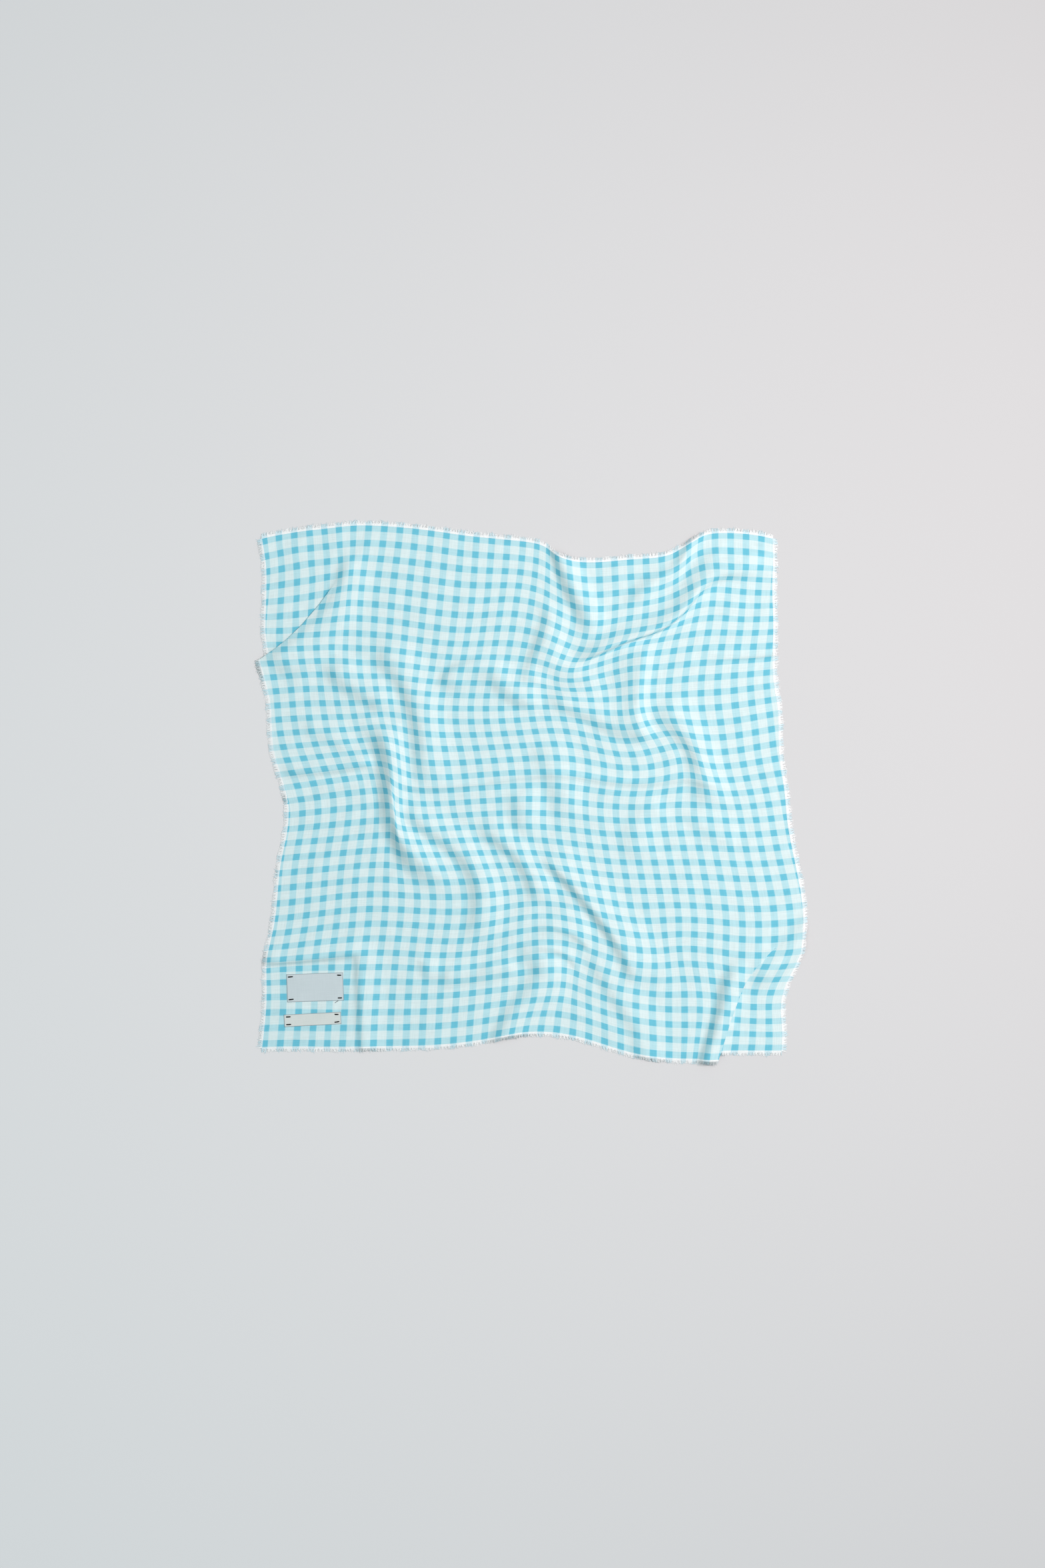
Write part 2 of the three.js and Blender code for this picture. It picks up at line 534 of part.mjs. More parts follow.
// The cloth's middle surface as triangles over columns and rows.
class ClothSheet {
  constructor() {
    this.points = [];
    this.triangles = [];
    this.layGrid();
    for (const pleat of PLEATS) {
      this.snapTo(pleat);
      for (const level of pleat.levels()) this.cutAlong(pleat, level);
    }
    this.settle();
  }

  layGrid() {
    for (let i = 0; i <= GRID_CELLS; i++) {
      for (let j = 0; j <= GRID_CELLS; j++) {
        const row = THREE.MathUtils.lerp(TOP, BOTTOM, j / GRID_CELLS);
        const across = i / GRID_CELLS;
        const left = sideCut(row, "left");
        const column = THREE.MathUtils.lerp(left, sideCut(row, "right"), across);
        this.points.push({ column, row, i, j });
      }
    }
    const index = (i, j) => i * (GRID_CELLS + 1) + j;
    const place = this.points.map(({ column, row }) => clothPoint(column, row));
    for (let i = 0; i < GRID_CELLS; i++) {
      for (let j = 0; j < GRID_CELLS; j++) {
        const [a, b] = [index(i, j), index(i + 1, j)];
        const [c, d] = [index(i + 1, j + 1), index(i, j + 1)];
        const shortest = place[a].distanceTo(place[c]) < place[b].distanceTo(place[d]);
        this.triangles.push(...(shortest ? [[a, d, c], [a, c, b]] : [[a, d, b], [b, d, c]]));
      }
    }
  }

  // Points very near one of a pleat's fold lines move onto it, hem points along their hem.
  snapTo(pleat) {
    for (const point of this.points) {
      const at = pleat.measure(point.column, point.row);
      if (at.down <= 0) continue;
      const misses = pleat.levels().map((level) => level(at));
      const miss = misses.reduce((a, b) => (Math.abs(b) < Math.abs(a) ? b : a));
      if (Math.abs(miss) > LEVEL_SNAP) continue;
      const { toCorner } = pleat;
      if (point.j === 0 || point.j === GRID_CELLS) {
        point.column -= miss / toCorner.x / CHECK_ACROSS;
      } else if (point.i === 0 || point.i === GRID_CELLS) {
        point.row -= miss / toCorner.y / CHECK_DOWN;
        point.column = sideCut(point.row, point.i === 0 ? "left" : "right");
      } else {
        point.column -= (miss * toCorner.x) / CHECK_ACROSS;
        point.row -= (miss * toCorner.y) / CHECK_DOWN;
      }
    }
  }

  // Splits the triangles that a fold line crosses, so that the cloth turns along mesh edges.
  cutAlong(pleat, level) {
    const reach = this.points.map(({ column, row }) => {
      const at = pleat.measure(column, row);
      const miss = level(at);
      return { miss: Math.abs(miss) < LEVEL_SNAP / 2 ? 0 : miss, down: at.down };
    });
    const cuts = new Map();
    const cutBetween = (a, b) => {
      if (reach[a].miss * reach[b].miss >= 0) return null;
      const key = a < b ? `${a},${b}` : `${b},${a}`;
      if (!cuts.has(key)) {
        const share = reach[a].miss / (reach[a].miss - reach[b].miss);
        const down = THREE.MathUtils.lerp(reach[a].down, reach[b].down, share);
        cuts.set(key, down > 0 ? this.addBetween(a, b, share) : null);
      }
      return cuts.get(key);
    };
    this.triangles = this.triangles.flatMap((corners) => {
      const middles = corners.map((a, k) => cutBetween(a, corners[(k + 1) % 3]));
      return splitTriangle(corners, middles);
    });
  }

  addBetween(a, b, share) {
    const from = this.points[a];
    const to = this.points[b];
    this.points.push({
      column: THREE.MathUtils.lerp(from.column, to.column, share),
      row: THREE.MathUtils.lerp(from.row, to.row, share),
      i: from.i === to.i ? from.i : NaN,
      j: from.j === to.j ? from.j : NaN,
    });
    return this.points.length - 1;
  }

  // Works out where each point rests and which way the cloth faces there.
  settle() {
    for (const point of this.points) {
      point.place = clothPoint(point.column, point.row);
      point.facing = new THREE.Vector3();
    }
    for (const corners of this.triangles) {
      const [a, b, c] = corners.map((n) => this.points[n].place);
      const normal = b.clone().sub(a).cross(c.clone().sub(a));
      for (const n of corners) this.points[n].facing.add(normal);
    }
    for (const point of this.points) point.facing.normalize();
  }

  // The edges that only one triangle has, as pairs of points with the cloth on their left.
  rim() {
    const edges = new Map();
    for (const corners of this.triangles) {
      corners.forEach((a, k) => edges.set(`${a},${corners[(k + 1) % 3]}`, true));
    }
    const pairs = [...edges.keys()].map((key) => key.split(",").map(Number));
    return pairs.filter(([a, b]) => !edges.has(`${b},${a}`));
  }

  // The points of one hem, from the smallest column or row to the largest.
  hem({ along, end }) {
    const fixed = along === "column" ? "j" : "i";
    const line = end === "start" ? 0 : GRID_CELLS;
    const points = this.points.filter((point) => point[fixed] === line);
    return points.sort((a, b) => a[along] - b[along]);
  }
}

// The pieces of a triangle whose sides are cut at the given points, or not at all.
function splitTriangle([a, b, c], [ab, bc, ca]) {
  const cut = [ab, bc, ca].filter((n) => n !== null).length;
  if (cut === 0) return [[a, b, c]];
  if (ab === null) return splitTriangle([b, c, a], [bc, ca, ab]);
  if (cut === 1) return [[a, ab, c], [ab, b, c]];
  if (bc === null) return splitTriangle([c, a, b], [ca, ab, bc]);
  return [[ab, b, bc], [a, ab, bc], [a, bc, c]];
}

function makeMesh(name, points, triangles, color) {
  const geometry = new THREE.BufferGeometry();
  geometry.setAttribute(
    "position",
    new THREE.Float32BufferAttribute(points.flatMap((point) => point.toArray()), 3),
  );
  geometry.setIndex(triangles.flat());
  geometry.computeVertexNormals();
  const material = new THREE.MeshStandardMaterial({ color, roughness: 0.9, metalness: 0 });
  material.name = name;
  const mesh = new THREE.Mesh(geometry, material);
  mesh.name = name;
  return mesh;
}

// A closed sheet of even thickness around a middle surface.
function thicken(points, triangles, rim, thickness) {
  const solid = [];
  for (const side of [thickness / 2, -thickness / 2]) {
    for (const { place, facing } of points) solid.push(place.clone().addScaledVector(facing, side));
  }
  const below = (n) => n + points.length;
  const faces = [...triangles];
  for (const [a, b, c] of triangles) faces.push([below(a), below(c), below(b)]);
  for (const [a, b] of rim) faces.push([below(a), below(b), b], [below(a), b, a]);
  return { solid, faces };
}

function makeCloth(sheet) {
  const { solid, faces } = thicken(sheet.points, sheet.triangles, sheet.rim(), CLOTH_THICK);
  return makeMesh("scarf_cloth", solid, faces, 0xa9dfee);
}

function makeLabel({ name, left, right, top, bottom, color }) {
  const { across, down } = LABEL_CELLS;
  const rise = CLOTH_THICK / 2 + LABEL_GAP + LABEL_THICK / 2;
  const points = [];
  for (let i = 0; i <= across; i++) {
    for (let j = 0; j <= down; j++) {
      const column = THREE.MathUtils.lerp(left, right, i / across);
      const row = THREE.MathUtils.lerp(top, bottom, j / down);
      const place = clothPoint(column, row);
      place.z += rise;
      points.push({ place, facing: new THREE.Vector3(0, 0, 1) });
    }
  }
  const index = (i, j) => i * (down + 1) + j;
  const triangles = [];
  const rim = [];
  for (let i = 0; i < across; i++) {
    for (let j = 0; j < down; j++) {
      const [a, b] = [index(i, j), index(i + 1, j)];
      const [c, d] = [index(i + 1, j + 1), index(i, j + 1)];
      triangles.push([a, d, c], [a, c, b]);
      if (j === 0) rim.push([b, a]);
      if (j === down - 1) rim.push([d, c]);
      if (i === 0) rim.push([a, d]);
      if (i === across - 1) rim.push([c, b]);
    }
  }
  const { solid, faces } = thicken(points, triangles, rim, LABEL_THICK);
  return makeMesh(name, solid, faces, color);
}

// Repeatable small differences between the locks, each between 0 and 1
function variation(seed) {
  const wave = Math.sin(seed * 12.9898 + 4.1414) * 43758.5453;
  return wave - Math.floor(wave);
}

// The cross-sections of a frayed strip, at the hem's points and halfway along its longer edges.
function fraySections(points, hem) {
  const outwardRow = hem.along === "column" ? (hem.end === "start" ? -1 : 1) : 0;
  const outwardColumn = hem.along === "row" ? (hem.end === "start" ? -1 : 1) : 0;
  const sections = points.map((point) => {
    const beyond = clothPoint(
      point.column + outwardColumn / CHECK_ACROSS,
      point.row + outwardRow / CHECK_DOWN,
    );
    const outward = beyond.sub(point.place);
    outward.addScaledVector(point.facing, -outward.dot(point.facing)).normalize();
    return { place: point.place.clone(), facing: point.facing.clone(), outward };
  });
  const between = (a, b, share) => ({
    place: a.place.clone().lerp(b.place, share),
    facing: a.facing.clone().lerp(b.facing, share).normalize(),
    outward: a.outward.clone().lerp(b.outward, share).normalize(),
  });
  const last = sections.length - 1;
  const trim = (a, b) => between(a, b, CORNER_TRIM / a.place.distanceTo(b.place));
  const ends = [trim(sections[0], sections[1]), trim(sections[last], sections[last - 1])];
  sections[0] = ends[0];
  sections[last] = ends[1];
  return sections.flatMap((section, k) => {
    const next = sections[k + 1];
    if (!next) return [section];
    const long = section.place.distanceTo(next.place) > 2.5 * FRAY_LENGTH;
    return long ? [section, between(section, next, 0.5)] : [section];
  });
}

// A narrow strip along the hem with locks of loose thread growing from its outer face. Every
// fourth step of the strip is left bare, and nothing reaches below the surface under the scarf.
function makeFray(sheet, hem, order) {
  const sections = fraySections(sheet.hem(hem), hem);
  const half = CLOTH_THICK / 2;
  const corner = ({ place, facing, outward }, out, up) => {
    const point = place.clone().addScaledVector(outward, out).addScaledVector(facing, up);
    point.z = Math.max(point.z, 0);
    return point;
  };
  const solid = sections.flatMap((section) => [
    corner(section, EDGE_GAP, half),
    corner(section, EDGE_GAP + FRAY_ROOT, half),
    corner(section, EDGE_GAP + FRAY_ROOT, -half),
    corner(section, EDGE_GAP, -half),
  ]);
  const faces = [];
  const quad = (a, b, c, d) => faces.push([a, b, c], [a, c, d]);
  for (let k = 0; k < sections.length - 1; k++) {
    const [innerTop, outerTop, outerLow, innerLow] = [0, 1, 2, 3].map((n) => 4 * k + n);
    quad(innerTop, outerTop, outerTop + 4, innerTop + 4);
    quad(outerLow, innerLow, innerLow + 4, outerLow + 4);
    quad(innerLow, innerTop, innerTop + 4, innerLow + 4);
    if (k % 4 === 3) {
      quad(outerTop, outerLow, outerLow + 4, outerTop + 4);
      continue;
    }
    const seed = 97 * order + k;
    const lean = 0.3 + 0.4 * variation(seed);
    const reach = EDGE_GAP + FRAY_ROOT + FRAY_LENGTH * (0.75 + 0.25 * variation(seed + 0.5));
    const [from, to] = [sections[k], sections[k + 1]];
    const tip = corner(from, reach, FRAY_LIFT - half).lerp(corner(to, reach, FRAY_LIFT - half), lean);
    tip.z = Math.max(tip.z, FRAY_LIFT);
    solid.push(tip);
    const n = solid.length - 1;
    faces.push([outerTop, outerLow, n], [outerLow, outerLow + 4, n]);
    faces.push([outerLow + 4, outerTop + 4, n], [outerTop + 4, outerTop, n]);
  }
  const end = 4 * (sections.length - 1);
  quad(0, 3, 2, 1);
  quad(end, end + 1, end + 2, end + 3);
  const turned = hem.end === (hem.along === "column" ? "start" : "end");
  const outwards = turned ? faces.map(([a, b, c]) => [a, c, b]) : faces;
  return makeMesh(hem.name, solid, outwards, 0xeef7f8);
}

function makeScarf() {
  const sheet = new ClothSheet();
  const scarf = new THREE.Group();
  scarf.name = "scarf";
  scarf.add(makeCloth(sheet));
  for (const label of LABELS) scarf.add(makeLabel(label));
  HEMS.forEach((hem, order) => scarf.add(makeFray(sheet, hem, order)));
  const box = new THREE.Box3().setFromObject(scarf, true);
  const middle = box.getCenter(new THREE.Vector3());
  for (const mesh of scarf.children) mesh.geometry.translate(-middle.x, -middle.y, -box.min.z);
  return scarf;
}

export default makeScarf();
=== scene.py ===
"""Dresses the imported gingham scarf: woven cloth, frayed edges, sewn labels and a pale studio."""

import logging
import math
from dataclasses import dataclass, field
from enum import Enum

import bmesh
import bpy
import numpy as np
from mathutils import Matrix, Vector


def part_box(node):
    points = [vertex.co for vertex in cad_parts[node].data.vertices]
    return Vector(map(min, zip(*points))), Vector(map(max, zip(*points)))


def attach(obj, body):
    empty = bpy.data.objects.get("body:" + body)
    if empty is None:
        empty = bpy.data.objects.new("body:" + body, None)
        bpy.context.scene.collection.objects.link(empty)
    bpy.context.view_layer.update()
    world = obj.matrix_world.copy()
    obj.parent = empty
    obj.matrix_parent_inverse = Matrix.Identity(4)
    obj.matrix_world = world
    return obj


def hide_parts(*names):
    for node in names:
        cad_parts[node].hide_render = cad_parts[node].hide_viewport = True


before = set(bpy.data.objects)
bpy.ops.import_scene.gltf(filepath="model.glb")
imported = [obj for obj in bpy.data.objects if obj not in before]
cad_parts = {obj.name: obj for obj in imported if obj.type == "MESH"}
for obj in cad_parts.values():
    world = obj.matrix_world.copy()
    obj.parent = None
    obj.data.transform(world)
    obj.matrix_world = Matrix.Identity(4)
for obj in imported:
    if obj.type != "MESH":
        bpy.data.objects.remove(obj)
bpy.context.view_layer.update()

LOG = logging.getLogger("scarf")
MM = 0.001

# The flat cloth, in millimetres. A place in it is a column and a row of checks, and the dark
# squares are centred on whole numbers.
CHECK_ACROSS = 19.7
CHECK_DOWN = 19.1
CLOTH_THICK = 0.5
# How far the middle of a folded layer turns round its fold line
LAYER_REACH = 0.5
# The rows that the top and bottom hems are cut at
TOP = -0.23
BOTTOM = 36.3

Array = np.ndarray


@dataclass(frozen=True)
class SideCut:
    """The columns that the two side hems are cut at, at one row."""

    row: float
    left: float
    right: float


SIDE_CUTS = (
    SideCut(row=-0.23, left=-0.22, right=34.78),
    SideCut(row=3, left=-0.05, right=34.92),
    SideCut(row=6, left=0.12, right=35.12),
    SideCut(row=8.8, left=0.3, right=35.35),
    SideCut(row=10.5, left=0.4, right=35.48),
    SideCut(row=12.5, left=0.5, right=35.58),
    SideCut(row=15, left=0.33, right=35.42),
    SideCut(row=17.5, left=0.19, right=35.27),
    SideCut(row=20, left=0.06, right=35.08),
    SideCut(row=22, left=0.04, right=35.03),
    SideCut(row=24, left=-0.02, right=34.95),
    SideCut(row=28, left=-0.07, right=34.8),
    SideCut(row=31, left=-0.11, right=34.74),
    SideCut(row=33, left=-0.13, right=34.85),
    SideCut(row=36.3, left=-0.18, right=34.83),
)


def ease(share: Array) -> Array:
    """Eases from 0 to 1 as the share does."""
    clipped = np.clip(share, 0.0, 1.0)
    return clipped * clipped * (3.0 - 2.0 * clipped)


def catmull_rom(a: Array, b: Array, c: Array, d: Array, t: Array) -> Array:
    """Draws a smooth line from b to c.

    Args:
        a: The knot before the span.
        b: The knot that the span starts from.
        c: The knot that it ends at.
        d: The knot after it.
        t: How far along the span, from 0 to 1.

    Returns:
        The line's value there.
    """
    square = (2 * a - 5 * b + 4 * c - d) * t * t
    cube = (3 * b - a - 3 * c + d) * t * t * t
    return 0.5 * (2 * b + (c - a) * t + square + cube)


def rounded_path(path: tuple[tuple[float, float], ...], steps: int = 6) -> Array:
    """Draws a line smoothly through its points.

    Args:
        path: Columns and rows of the points.
        steps: Short steps for each span.

    Returns:
        The line's points, one a row, in millimetres of flat cloth.
    """
    knots = np.array(path, dtype=float)
    knots = np.vstack([2 * knots[0] - knots[1], knots, 2 * knots[-1] - knots[-2]])
    points = []
    for k in range(1, len(knots) - 2):
        for step in range(steps):
            points.append(catmull_rom(*knots[k - 1 : k + 3], step / steps))
    points.append(knots[-2])
    return np.array(points) * (CHECK_ACROSS, CHECK_DOWN)


@dataclass(frozen=True)
class Ridge:
    """A ridge or crease of the cloth, in millimetres.

    Its path gives columns and rows along the crest, walked with the steep flank on the right.
    Gentle and steep are the widths of the flanks. Sharp runs from 0 for a rounded crest to 1 for
    a pointed one. The ends rise and sink over the lengths grows and fades. Lean is how far the
    crest is pushed to the right, or to the left where it is negative.
    """

    name: str
    path: tuple[tuple[float, float], ...]
    height: float
    gentle: float
    steep: float
    sharp: float
    grows: float
    fades: float
    lean: float = 0.0

    def lift(self, column: Array, row: Array) -> tuple[Array, Array, Array]:
        """Works out what the ridge adds at some places of the cloth.

        Args:
            column: The places' columns.
            row: Their rows.

        Returns:
            The height, and the shift across and down, in millimetres.
        """
        points = rounded_path(self.path)
        x, y = column * CHECK_ACROSS, row * CHECK_DOWN
        reach = max(self.gentle, self.steep)
        near = (x > points[:, 0].min() - reach) & (x < points[:, 0].max() + reach)
        near &= (y > points[:, 1].min() - reach) & (y < points[:, 1].max() + reach)
        height = np.zeros(x.shape)
        across = np.zeros(x.shape)
        down = np.zeros(x.shape)
        if near.any():
            height[near], across[near], down[near] = self._lift_near(points, x[near], y[near])
        return height, across, down

    def _lift_near(self, points: Array, x: Array, y: Array) -> tuple[Array, Array, Array]:
        """Does the work of lift for places within reach of the crest."""
        best = np.full(x.shape, np.inf)
        side = np.ones(x.shape)
        away_x, away_y = np.zeros(x.shape), np.zeros(x.shape)
        walked = np.zeros(x.shape)
        start_walk = 0.0
        for start, end in zip(points[:-1], points[1:]):
            step = end - start
            length = math.hypot(*step)
            dx, dy = x - start[0], y - start[1]
            share = np.clip((dx * step[0] + dy * step[1]) / length**2, 0.0, 1.0)
            ex, ey = dx - share * step[0], dy - share * step[1]
            distance = np.hypot(ex, ey)
            closer = distance < best - 1e-9
            turn = np.where(step[0] * dy - step[1] * dx < 0, -1.0, 1.0)
            tiny = distance <= 0.5
            scale = turn / np.maximum(distance, 1e-9)
            away_x = np.where(closer, np.where(tiny, -step[1] / length, ex * scale), away_x)
            away_y = np.where(closer, np.where(tiny, step[0] / length, ey * scale), away_y)
            side = np.where(closer, turn, side)
            walked = np.where(closer, start_walk + share * length, walked)
            best = np.where(closer, distance, best)
            start_walk += length
        share = best / np.where(side < 0, self.gentle, self.steep)
        inside = share < 1
        share = np.clip(share, 0.0, 1.0)
        rounded = np.cos(np.pi / 2 * share) ** 2
        profile = (1 - self.sharp) * rounded + self.sharp * (1 - share) ** 2
        strength = np.where(inside, 1.0, 0.0)
        if self.grows > 0:
            strength = strength * ease(walked / self.grows)
        if self.fades > 0:
            strength = strength * ease((start_walk - walked) / self.fades)
        sideways = self.lean * rounded * strength
        return self.height * profile * strength, sideways * away_x, sideways * away_y


# The main ridges and folds
MAIN_RIDGES = (
    Ridge("flap swell", ((6.2, 1.2), (5.6, 3.2), (5.1, 5), (4.3, 6.6), (2.8, 8), (0.8, 9.4)),
          height=7, gentle=50, steep=26, sharp=0, grows=40, fades=30),
    Ridge("row 9, left", ((0.2, 9.4), (3.5, 9.2), (8, 9)),
          height=2, gentle=30, steep=14, sharp=0.5, grows=0, fades=60),
    Ridge("left shoulder", ((4.4, 8.8), (5.7, 10.1), (6.9, 11), (8, 11.8), (8.6, 13)),
          height=7, gentle=40, steep=26, sharp=0.1, grows=30, fades=25),
    Ridge("second ridge",
          ((8.4, 7.2), (9.6, 9), (10.7, 10.7), (11.4, 12.4), (11.7, 14.2), (11.6, 16),
           (11.2, 18)),
          height=8, gentle=45, steep=32, sharp=0.1, grows=30, fades=40, lean=1),
    Ridge("main ridge",
          ((7.6, 13), (8, 15.4), (8.1, 17.2), (7.7, 19), (7.7, 20.6), (8.7, 22.3),
           (10.2, 24), (11.7, 25.8)),
          height=14, gentle=46, steep=34, sharp=0.15, grows=50, fades=80, lean=-3),
    Ridge("row 17, left", ((0.3, 16.9), (3.5, 17.1), (6.6, 16.9)),
          height=6, gentle=20, steep=10, sharp=0.4, grows=20, fades=20),
    Ridge("third ridge",
          ((9.2, 19.1), (11, 20.8), (12.4, 22.4), (13.2, 24.3), (13.2, 26.8), (12.8, 29.6)),
          height=8, gentle=40, steep=24, sharp=0.1, grows=30, fades=50),
    Ridge("lower knuckle",
          ((14.2, 20.9), (15.5, 21.7), (16.5, 22.8), (17.1, 24.2), (17.3, 25.8), (17.4, 27.6)),
          height=7, gentle=36, steep=22, sharp=0.1, grows=30, fades=40),
    Ridge("upper knuckle", ((17.3, 17.8), (17.7, 20), (17.8, 22.4)),
          height=6, gentle=36, steep=26, sharp=0, grows=30, fades=30),
    Ridge("centre dent", ((19.2, 14.4), (19.7, 16.6), (20.4, 18.8), (20.9, 20.8)),
          height=4.5, gentle=40, steep=28, sharp=0, grows=30, fades=30),
    Ridge("diagonal ridge",
          ((18, 22.9), (19.6, 24.5), (20.9, 26.2), (22, 27.7), (22.9, 29.2), (23.7, 30.7),
           (24.2, 32)),
          height=9, gentle=60, steep=20, sharp=0.35, grows=40, fades=40),
    Ridge("top ridge", ((20.1, -0.7), (20.9, 1), (21.9, 3), (22.6, 5.2)),
          height=10, gentle=30, steep=28, sharp=0.1, grows=0, fades=40),
    Ridge("long fold",
          ((36, 1.9), (33.5, 2), (31.2, 2.4), (29.8, 3.2), (29, 3.9), (28, 4.7), (26.8, 5.3),
           (25, 5.8), (23, 6.2), (21.4, 6.8)),
          height=11, gentle=26, steep=36, sharp=0.15, grows=90, fades=50, lean=-5),
    Ridge("twin fold", ((29.6, -0.6), (28.3, 0.7), (27, 1.2), (25.8, 2), (24.6, 3)),
          height=7, gentle=24, steep=18, sharp=0.4, grows=0, fades=30, lean=-2),
    Ridge("centre seam", ((19.4, 3.2), (19.4, 6), (19, 8.2), (18.8, 10.2)),
          height=6, gentle=40, steep=20, sharp=0.2, grows=30, fades=20),
    Ridge("seam wedge", ((24, 10.6), (22.9, 9.2), (21.4, 8), (20, 6.6), (19.4, 4.6)),
          height=4, gentle=40, steep=30, sharp=0, grows=30, fades=30),
    Ridge("arc crown", ((17.6, 9), (15.2, 8.7), (13.6, 9.2), (12.8, 10.8)),
          height=8, gentle=44, steep=18, sharp=0.1, grows=30, fades=30),
    Ridge("arc foot", ((16.4, 8.4), (17, 9.8), (18.2, 11), (20, 11.6)),
          height=7, gentle=50, steep=22, sharp=0.1, grows=30, fades=30),
    Ridge("centre wave", ((20, 11), (23, 12.3), (25.2, 13.2), (27.5, 13.6)),
          height=6, gentle=50, steep=24, sharp=0.1, grows=30, fades=30),
    Ridge("column 27", ((27, 6.8), (26.8, 10), (26.5, 12.4), (25.8, 14.4)),
          height=8, gentle=24, steep=52, sharp=0.3, grows=30, fades=40),
    Ridge("east ridge", ((28.2, 11.4), (29.2, 12.8), (29.9, 14.8), (30.1, 17), (30.3, 19.6)),
          height=8, gentle=40, steep=36, sharp=0.1, grows=30, fades=36),
    Ridge("row 9, right", ((30.5, 8.8), (33, 8.6), (35.8, 8.5)),
          height=4, gentle=12, steep=9, sharp=0.5, grows=60, fades=0, lean=2),
    Ridge("above the labels", ((-0.6, 30.2), (2.5, 30.2), (5, 30), (7, 30)),
          height=7, gentle=26, steep=10, sharp=0.45, grows=24, fades=40),
    Ridge("beside the labels", ((5.6, 29.6), (5.9, 32), (6.2, 34.4), (6.4, 37)),
          height=5, gentle=34, steep=11, sharp=0.4, grows=20, fades=0),
    Ridge("hem rise", ((18.2, 30.8), (17.1, 33.4), (16, 35), (15.2, 37)),
          height=8, gentle=50, steep=28, sharp=0, grows=30, fades=0),
    Ridge("lower shoulder", ((21, 27.8), (18.8, 29), (17.2, 30.6), (16.2, 32)),
          height=5, gentle=40, steep=34, sharp=0, grows=30, fades=30),
    Ridge("tuck roll", ((31.6, 29.4), (30.3, 31), (29.8, 33), (29.4, 35), (29, 36.8)),
          height=9, gentle=26, steep=20, sharp=0.1, grows=30, fades=0),
    Ridge("tuck start", ((35.8, 27.2), (34.2, 28.8), (32.4, 30), (31, 30.6)),
          height=8, gentle=30, steep=30, sharp=0.1, grows=0, fades=30),
)

# Slighter waves and pressed creases
FINE_RIDGES = (
    Ridge("row 19 crease", ((-0.4, 18.9), (1.5, 18.8), (4, 18.4), (6.5, 18.2)),
          height=2.5, gentle=14, steep=7, sharp=0.6, grows=0, fades=60),
    Ridge("first bottom line", ((13.6, 30.4), (15.4, 29.3), (17.4, 28.8), (19.6, 29.2), (21, 30.2)),
          height=2.8, gentle=16, steep=7, sharp=0.4, grows=20, fades=20),
    Ridge("second bottom line", ((13.2, 31.6), (15, 30.9), (17, 30.4), (19, 30.8), (20.4, 31.8)),
          height=2.8, gentle=16, steep=7, sharp=0.4, grows=20, fades=20),
    Ridge("row 18 crease",
          ((9, 17.9), (12, 17.8), (16, 17.5), (20, 17.2), (26, 17.2), (30, 17.4), (33, 17.6)),
          height=3.5, gentle=18, steep=7, sharp=0.5, grows=20, fades=60),
    Ridge("first dimple", ((9.9, 30), (10.4, 32)),
          height=4, gentle=20, steep=16, sharp=0, grows=15, fades=15),
    Ridge("row 32 wave", ((10.6, 31.7), (13, 31.6), (16, 31.4)),
          height=5, gentle=24, steep=20, sharp=0.1, grows=20, fades=20),
    Ridge("last branch", ((20.6, 29.8), (22.4, 32), (24, 34.2), (24.6, 36.8)),
          height=4, gentle=40, steep=20, sharp=0.1, grows=30, fades=0),
    Ridge("east hollow", ((27.2, 18.6), (25.9, 19.6), (25, 21.4), (24.9, 23)),
          height=4, gentle=40, steep=26, sharp=0, grows=20, fades=20),
    Ridge("east slope", ((28.6, 19.2), (30, 20.8), (31.8, 21.6)),
          height=2.5, gentle=40, steep=20, sharp=0, grows=20, fades=20),
    Ridge("west slope", ((2.4, 13.6), (4, 14.4), (5.2, 15.8)),
          height=3, gentle=30, steep=18, sharp=0, grows=15, fades=15),
)


